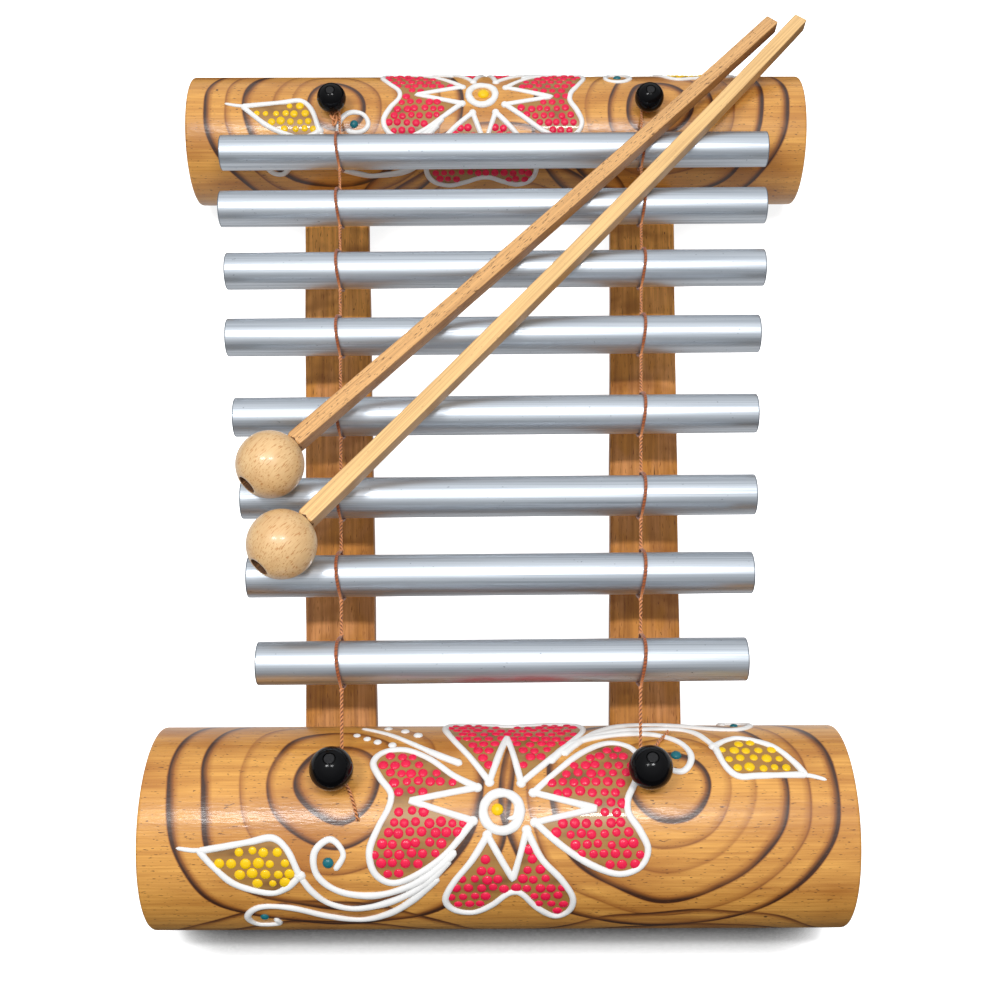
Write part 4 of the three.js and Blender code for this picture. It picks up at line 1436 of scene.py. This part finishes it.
class METALLOPHONE_OT_stage(bpy.types.Operator):
    """Sets the camera, the floor, the lamps and the studio around"""

    bl_idname = "metallophone.stage"
    bl_label = "Stage"

    def execute(self, context):
        stage = context.scene.metallophone_stage
        context.scene.view_settings.view_transform = "Standard"
        self.camera(context, stage)
        self.floor(context, stage)
        self.lamps(stage)
        self.studio(context, stage)
        return {"FINISHED"}

    def camera(self, context, stage):
        """Points the camera along its elevation and yaw, then rolls it."""
        pitch, yaw, roll = stage.elevation, stage.yaw, stage.roll
        look = np.array([np.sin(yaw) * np.cos(pitch), np.cos(yaw) * np.cos(pitch), -np.sin(pitch)])
        right = np.array([np.cos(yaw), -np.sin(yaw), 0])
        up = np.cross(right, look)
        across = np.cos(roll) * right + np.sin(roll) * up
        upward = -np.sin(roll) * right + np.cos(roll) * up
        data = bpy.data.cameras.new("camera")
        data.lens = stage.lens
        data.sensor_width = SENSOR_WIDTH
        data.sensor_fit = "HORIZONTAL"
        data.clip_start = CLIP_START
        made = bpy.data.objects.new("camera", data)
        stand(made, across, upward, -look, stage.eye)
        context.scene.camera = made

    def floor(self, context, stage):
        """A wide plane that keeps shadows, white to the camera and grey as a source of light.

        It darkens where something stands close over it. Between the culms it glows for the camera and
        reflections all the same, so that it shows white between the tubes.
        """
        corners = np.array([(-1, -1, 0), (1, -1, 0), (1, 1, 0), (-1, 1, 0)]) * FLOOR_HALF
        mesh = bpy.data.meshes.new("floor")
        mesh.from_pydata(corners.tolist(), [], [(0, 1, 2, 3)])
        material, tree, shader = new_material("plain pale floor")
        camera = add(tree, "ShaderNodeLightPath", out="Is Camera Ray")
        place = add(tree, "ShaderNodeTexCoord", out="Object")
        back = add(tree, "ShaderNodeSeparateXYZ", [place], "Y")
        near, far = CULMS["near"].y, CULMS["far"].y
        past_near = add(tree, "ShaderNodeMapRange", [back, near - NEAR_FADE, near + NEAR_FADE])
        past_far = add(tree, "ShaderNodeMapRange", [back, far + FAR_FADE, far - FAR_FADE])
        between = add(tree, "ShaderNodeMath", [past_near, past_far], operation="MULTIPLY")
        open_sky = add(tree, "ShaderNodeAmbientOcclusion", {"Distance": stage.shadow_reach}, "AO")
        shade = add(tree, "ShaderNodeMapRange", [open_sky, *SHADE_RANGE])
        lit = add(tree, "ShaderNodeMath", [shade, between], operation="MAXIMUM")
        lit = add(tree, "ShaderNodeMix", {0: camera, 2: between, 3: lit})
        share = add(tree, "ShaderNodeMix", {0: camera, 2: stage.mirror_glow, 3: stage.glow})
        glow = add(tree, "ShaderNodeMath", [lit, share], operation="MULTIPLY")
        shown = glaze(tree, stage.floor_shade, stage.floor, shade, 0.0, 1.0, 1.0)
        bounce = glaze(tree, stage.floor_shade, stage.floor_bounce, between, 0.0, 1.0, 1.0)
        feed(tree, shader, {
            "Base Color": glaze(tree, bounce, shown, camera, 0.0, 1.0, 1.0),
            "Roughness": 1.0,
            "Specular IOR Level": 0.0,
            "Emission Color": (1, 1, 1, 1),
            "Emission Strength": add(tree, "ShaderNodeMath", [glow, seen_rays(tree)], operation="MULTIPLY"),
        })
        mesh.materials.append(material)
        made = bpy.data.objects.new("floor", mesh)
        context.scene.collection.objects.link(made)

    def lamps(self, stage):
        """Hangs two soft lamps nearly overhead."""
        for name, hung in (("left lamp", stage.left_lamp), ("right lamp", stage.right_lamp)):
            data = bpy.data.lights.new(name, "AREA")
            data.energy = stage.lamp_watts
            data.shape = "RECTANGLE"
            data.size = stage.lamp_width
            data.size_y = stage.lamp_depth
            back = unit(np.subtract(hung, stage.aim))
            side = unit(np.cross([0.0, 1.0, 0.0], back))
            stand(bpy.data.objects.new(name, data), side, np.cross(back, side), back, hung)

    def studio(self, context, stage):
        """A white studio all round, which reflections see brighter towards its top and its back."""
        world = bpy.data.worlds.new("studio")
        world.use_nodes = True
        context.scene.world = world
        tree = world.node_tree
        place = add(tree, "ShaderNodeTexCoord", out="Generated")
        back = add(tree, "ShaderNodeSeparateXYZ", [place], "Y")
        height = add(tree, "ShaderNodeSeparateXYZ", [place], "Z")
        shares = [share * stage.fill for share in FILL_RANGE]
        fill = add(tree, "ShaderNodeMapRange", [height, 0.0, 1.0, *shares])
        mirror = add(tree, "ShaderNodeValToRGB", [height], stops=MIRROR_STOPS)
        mirror = add(tree, "ShaderNodeMath", [back, MIRROR_BACK, mirror], operation="MULTIPLY_ADD")
        glossy = add(tree, "ShaderNodeLightPath", out="Is Glossy Ray")
        seen = add(tree, "ShaderNodeMix", {0: glossy, 2: SKY_WHITE, 3: mirror})
        strength = add(tree, "ShaderNodeMix", {0: seen_rays(tree), 2: fill, 3: seen})
        feed(tree, tree.nodes["Background"], {"Color": SKY_TINT, "Strength": strength})


class METALLOPHONE_OT_cords(bpy.types.Operator):
    """Strings both cords: loops round the pegs, twisted stretches, and strands over and under each tube"""

    bl_idname = "metallophone.cords"
    bl_label = "Cords"

    def execute(self, context):
        waxed_cord()
        for side in SIDES:
            start, end = cord_end("near", side), cord_end("far", side)
            for tube in TUBES:
                for way in (-1, 1):
                    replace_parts(cord_stretch(side, tube, way, start, end), f"{side}_cord")
            for culm in CULMS:
                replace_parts(cord_ends(side, culm), f"{side}_cord")
        return {"FINISHED"}


CULM_SIDES = 180
# Share of a sawn edge's rounding, from the skin inwards, that the skin covers
SKIN_SHARE = 0.6


class METALLOPHONE_OT_culms(bpy.types.Operator):
    """Makes the two bamboo culms, hollow, with rounded sawn ends and a planed flat underneath"""

    bl_idname = "metallophone.culms"
    bl_label = "Culms"

    def execute(self, context):
        look = context.scene.metallophone_culms
        sawn = cut_bamboo()
        for end, culm in CULMS.items():
            half = culm.length / 2
            inner = culm.radius - look.wall
            corners = [(culm.radius, -half), (culm.radius, half), (inner, half), (inner, -half)]
            wall = eased(corners, look.edge)
            grid = turned(wall, np.array([0, culm.y, culm.z]), [1, 0, 0], CULM_SIDES)
            grid[..., 2] = np.maximum(grid[..., 2], 0)
            rows = np.where(wall[:, 0] > culm.radius - SKIN_SHARE * look.edge, 0, 1)
            shell = Shell().add(grid, wrap_rows=True, slots=rows)
            piece = shell.piece(f"{end}_culm_bamboo", [bamboo_skin(end), sawn], "bamboo")
            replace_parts(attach(piece, FRAME_BODY), f"{end}_culm")
        return {"FINISHED"}


class METALLOPHONE_OT_sprays(bpy.types.Operator):
    """Paints a flower spray in raised lines and dots on each culm"""

    bl_idname = "metallophone.sprays"
    bl_label = "Painted sprays"

    def execute(self, context):
        paint = context.scene.metallophone_paint
        thin_wash()
        acrylic(PAINTS["lines"], paint.white, 0.15)
        acrylic(PAINTS["crimson_dots"], paint.crimson, 0.35)
        acrylic(PAINTS["yellow_dots"], paint.yellow, 0.2)
        acrylic(PAINTS["teal_dots"], paint.teal, 0.3)
        for spray in SPRAYS:
            paint_spray(spray)
        return {"FINISHED"}


BEAD_RINGS = 44
BEAD_SIDES = 56
CROWN_POINTS = 6
PEG_SIDES = 28


class METALLOPHONE_OT_knobs(bpy.types.Operator):
    """Makes the black beads and the pegs that hold them"""

    bl_idname = "metallophone.knobs"
    bl_label = "Knobs"

    def execute(self, context):
        look = context.scene.metallophone_culms
        lacquer, wood = black_lacquer(), peg_wood()
        for end in CULMS:
            for side in SIDES:
                bottom, top = long_axis(f"{end}_{side}_peg", 2)
                axis = unit(top - bottom)
                low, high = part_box(f"{end}_{side}_bead")
                middle = (np.array(low) + np.array(high)) / 2
                radius = (high.x - low.x) / 2
                open_at = np.arccos((PEG_RADIUS + look.bead_lip) / radius)
                ball = arc(radius, -open_at, open_at, BEAD_RINGS)
                shell = Shell().add(turned(ball, middle, axis, BEAD_SIDES), wrap_rows=True)
                piece = shell.piece(f"{end}_{side}_bead_lacquer", [lacquer], "black_lacquer", sharp=60)
                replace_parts(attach(piece, FRAME_BODY), f"{end}_{side}_bead")
                shoulder = np.linalg.norm(top - bottom) - look.peg_edge
                crown = arc(look.peg_edge, 0, np.pi / 2, CROWN_POINTS)[1:-1]
                crown += [PEG_RADIUS - look.peg_edge, shoulder]
                profile = np.vstack([[(PEG_RADIUS, 0), (PEG_RADIUS, shoulder)], crown])
                shell = Shell().add(turned(profile, bottom, axis, PEG_SIDES))
                piece = shell.piece(f"{end}_{side}_peg_wood", [wood], "peg_wood", sharp=60)
                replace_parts(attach(piece, FRAME_BODY), f"{end}_{side}_peg")
        return {"FINISHED"}


RAIL_STEPS = 60
# How uneven a rail is in height and in half width, the steps in a wave of each, and the seeds' middles
RAIL_RISE = 0.12 * MM
RISE_WAVE = 34
RISE_SEED = 5
RAIL_WAVER = 0.15 * MM
WAVER_WAVE = 22
WAVER_SEED = 9
RAIL_TOP_POINTS = 17
# Power of the way out by which the top drops at its edges
RAIL_SHOULDER = 12


class METALLOPHONE_OT_rails(bpy.types.Operator):
    """Makes the two tapering rails that join the culms"""

    bl_idname = "metallophone.rails"
    bl_label = "Rails"

    def execute(self, context):
        row = context.scene.metallophone_row
        for side, way in SIDES.items():
            points = node_points(f"{side}_rail")
            ends = []
            for pick in (points[:, 1] < points[:, 1].mean(), points[:, 1] > points[:, 1].mean()):
                low, high = points[pick].min(0), points[pick].max(0)
                ends.append(((low + high) / 2, high - low))
            (near, near_size), (far, far_size) = ends
            near[1], far[1] = points[:, 1].min(), points[:, 1].max()
            share = np.linspace(0, 1, RAIL_STEPS)[:, None]
            path = near + (far - near) * share
            path[:, 2] += RAIL_RISE * wobble(RAIL_STEPS, RISE_WAVE, RISE_SEED + way)
            half_width = (near_size[0] + (far_size[0] - near_size[0]) * share) / 2
            half_width = half_width + RAIL_WAVER * wobble(RAIL_STEPS, WAVER_WAVE, WAVER_SEED + way)[:, None]
            shell = Shell().add(swept(path, self.section(half_width, near_size[2] / 2, row), UP))
            slope = np.arctan2(far[0] - near[0], far[1] - near[1])
            timber = rail_timber(f"stained softwood, {side} rail", -slope)
            piece = shell.piece(f"{side}_rail_timber", [timber], "rail_wood")
            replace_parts(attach(piece, FRAME_BODY), f"{side}_rail")
        return {"FINISHED"}

    def section(self, half_width, half_height, row):
        """Sections with these half widths: the top sinks by the square of the way out, fast at its sides."""
        out = np.sin(np.linspace(np.pi / 2, -np.pi / 2, RAIL_TOP_POINTS))
        edge = row.rail_edge
        top = half_height - row.rail_crown * out**2 - edge * out**RAIL_SHOULDER
        low = np.array([(-1, 0, edge), (-1, edge, 0), (1, -edge, 0), (1, 0, edge)])
        across = np.hstack([half_width * out, half_width * low[:, 0] + low[:, 1]])
        up = np.concatenate([top, low[:, 2] - half_height])
        return np.stack(np.broadcast_arrays(across, up), -1)


TUBE_SIDES = 72


class METALLOPHONE_OT_tubes(bpy.types.Operator):
    """Makes the aluminium tubes, hollow, with rounded cut ends"""

    bl_idname = "metallophone.tubes"
    bl_label = "Tubes"

    def execute(self, context):
        row = context.scene.metallophone_row
        metal, sawn = drawn_aluminium(), sawn_aluminium()
        for name in TUBES:
            left, right = long_axis(name, 0)
            span = np.linalg.norm(right - left)
            inner = TUBE_RADIUS - row.tube_wall
            wall = eased([(TUBE_RADIUS, 0), (TUBE_RADIUS, span), (inner, span), (inner, 0)], row.tube_edge)
            rows = np.where(np.abs(np.diff(wall[:, 1], append=wall[:1, 1])) > span / 2, 0, 1)
            grid = turned(wall, left, right - left, TUBE_SIDES)
            shell = Shell().add(grid, wrap_rows=True, slots=rows)
            piece = shell.piece(f"{name}_metal", [metal, sawn], "tube_aluminium")
            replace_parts(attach(piece, name), name)
        return {"FINISHED"}


HEAD_RINGS = 48
HEAD_SIDES = 72
BORE_LIP = 0.3 * MM
# Height of the bore's first ring, as a share of the way from the head's middle to the bore's mouth
BORE_TOP = 0.4
# Share of the greatest half width from which a point counts as on a stick's side
STICK_SIDE = 0.85
# Ways from a stick's ends at which it has sections, and the shares of its thickness at the first two
END_STEPS = np.array([0, 0.4, 1.2]) * MM
END_SHARES = (0.86, 0.96)
STICK_END = 3 * MM
STICK_POINTS = 90
STICK_SWELL = 0.012
STICK_WAVE = 30
TENON_BEVEL = 0.4 * MM
TENON_OVERLAP = 1 * MM
TENON_SIDES = 40


class METALLOPHONE_OT_mallets(bpy.types.Operator):
    """Makes both mallets: bored beech balls on square sticks"""

    bl_idname = "metallophone.mallets"
    bl_label = "Mallets"

    def execute(self, context):
        look = context.scene.metallophone_mallets
        for end, tint, pored in (("far", look.dark_stick, 1.0), ("near", look.pale_stick, 0.0)):
            body = f"{end}_mallet"
            low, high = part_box(f"{body}_head")
            middle = (np.array(low) + np.array(high)) / 2
            ball = node_points(f"{body}_head") - middle
            radius = np.linalg.norm(ball, axis=1).max()
            points = node_points(f"{body}_stick") - middle
            tenon = points[np.linalg.norm(points, axis=1) < radius]
            along = unit(-tenon.mean(0))
            across = unit(np.cross(along, UP))
            grain = np.stack([along, across, np.cross(across, along)])
            turn = Matrix(grain.T.tolist()).to_euler()
            # The bore and the tenon in it get their dark colour as painted shade
            raw = bore_painted_shade(f"raw bored beech, {end}", turn)
            self.head(body, middle, along, ball, [turned_beech(f"turned beech, {end}", turn), raw])
            timber = stick_timber(f"split stick, {end}", tint, turn, pored)
            self.stick(body, middle, grain, (points, tenon), [timber, raw])
        return {"FINISHED"}

    def head(self, body, middle, along, points, woods):
        """A ball bored through for its stick, with a flat ring round the bore's open end."""
        look = bpy.context.scene.metallophone_mallets
        radius = np.linalg.norm(points, axis=1).max()
        reach = points @ along
        bore = np.linalg.norm(points - reach[:, None] * along, axis=1).min()
        ball = arc(radius, -np.arccos((bore + look.rim) / radius), np.arccos(bore / radius), HEAD_RINGS)
        floor, top = ball[0, 1], ball[-1, 1]
        lip = (bore, floor + BORE_LIP), (bore + BORE_LIP, floor)
        inner = np.array([(bore, BORE_TOP * top), (bore, 0), *lip])
        rows = np.array([0] * (len(ball) - 1) + [1] * len(inner) + [0])
        grid = turned(np.vstack([ball, inner]), middle, along, HEAD_SIDES)
        shell = Shell().add(grid, wrap_rows=True, slots=rows)
        piece = shell.piece(f"{body}_head_beech", woods, "head_wood", sharp=50)
        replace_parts(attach(piece, body), f"{body}_head")

    def stick(self, body, middle, grain, solid, woods):
        """A square stick that bends and thins as its solid does, on a round tenon that goes through the head.

        A parabola fitted to the solid's points gives its middle line and a straight line its half width. The
        section shrinks over the last millimetre at both ends.
        """
        look = bpy.context.scene.metallophone_mallets
        points, tenon = solid
        along, across, up = grain
        bar = points[points @ along > np.linalg.norm(tenon, axis=1).max()]
        reach = bar @ along
        bend = np.polyfit(reach, bar @ across, 2)
        lift = np.polyfit(reach, bar @ up, 1)
        side = np.abs(bar @ across - np.polyval(bend, reach))
        outer = side > STICK_SIDE * side.max()
        taper = np.polyfit(reach[outer], side[outer], 1)
        first, last = reach.min(), reach.max()
        long_part = np.linspace(first + STICK_END, last - STICK_END, STICK_POINTS)
        gone = np.concatenate([first + END_STEPS, long_part, last - END_STEPS[::-1]])
        flat = np.stack([gone, np.polyval(bend, gone), np.polyval(lift, gone)], -1)
        size = np.polyval(taper, gone) * (1 + STICK_SWELL * wobble(len(gone), STICK_WAVE, len(body)))
        for number, share in enumerate(END_SHARES):
            size[[number, -1 - number]] *= share
        section = eased([(1, 1), (-1, 1), (-1, -1), (1, -1)], look.stick_edge / size.mean())
        sides = np.linalg.norm(np.roll(section, -1, 0) - section, axis=1)
        col_uv = np.concatenate([[0], np.cumsum(sides)]) / sides.sum()
        grid = swept(middle + flat @ grain, section[None] * size[:, None, None], UP)
        shell = Shell().add(grid, col_uv=col_uv)
        reach = tenon @ along
        thick = np.linalg.norm(tenon - reach[:, None] * along, axis=1).max()
        tip = reach.min()
        profile = [(thick - TENON_BEVEL, tip), (thick, tip + TENON_BEVEL), (thick, first + TENON_OVERLAP)]
        shell.add(turned(profile, middle, along, TENON_SIDES), slots=1)
        slot = "dark_stick" if body.startswith("far") else "pale_stick"
        piece = shell.piece(f"{body}_stick_timber", woods, slot)
        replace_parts(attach(piece, body), f"{body}_stick")


class METALLOPHONE_PT_panel(bpy.types.Panel):
    """Lists the metallophone's pieces in the sidebar"""

    bl_idname = "METALLOPHONE_PT_panel"
    bl_label = "Metallophone"
    bl_space_type = "VIEW_3D"
    bl_region_type = "UI"
    bl_category = "Metallophone"

    def draw(self, context):
        for operator in OPERATORS:
            self.layout.operator(operator.bl_idname)


OPERATORS = (
    METALLOPHONE_OT_stage,
    METALLOPHONE_OT_cords,
    METALLOPHONE_OT_culms,
    METALLOPHONE_OT_sprays,
    METALLOPHONE_OT_knobs,
    METALLOPHONE_OT_rails,
    METALLOPHONE_OT_tubes,
    METALLOPHONE_OT_mallets,
)
SETTINGS = {
    "metallophone_culms": CulmSettings,
    "metallophone_paint": PaintSettings,
    "metallophone_row": RowSettings,
    "metallophone_mallets": MalletSettings,
    "metallophone_stage": StageSettings,
}


def register():
    """Registers the settings, the operators and the panel."""
    for name, group in SETTINGS.items():
        bpy.utils.register_class(group)
        setattr(bpy.types.Scene, name, PointerProperty(type=group))
    for made in (*OPERATORS, METALLOPHONE_PT_panel):
        bpy.utils.register_class(made)


def unregister():
    """Takes everything out again."""
    for made in (METALLOPHONE_PT_panel, *reversed(OPERATORS)):
        bpy.utils.unregister_class(made)
    for name, group in SETTINGS.items():
        delattr(bpy.types.Scene, name)
        bpy.utils.unregister_class(group)


def main():
    """Builds the whole scene."""
    register()
    bpy.ops.metallophone.stage()
    bpy.ops.metallophone.cords()
    bpy.ops.metallophone.culms()
    bpy.ops.metallophone.sprays()
    bpy.ops.metallophone.knobs()
    bpy.ops.metallophone.rails()
    bpy.ops.metallophone.tubes()
    bpy.ops.metallophone.mallets()


if __name__ == "__main__":
    main()
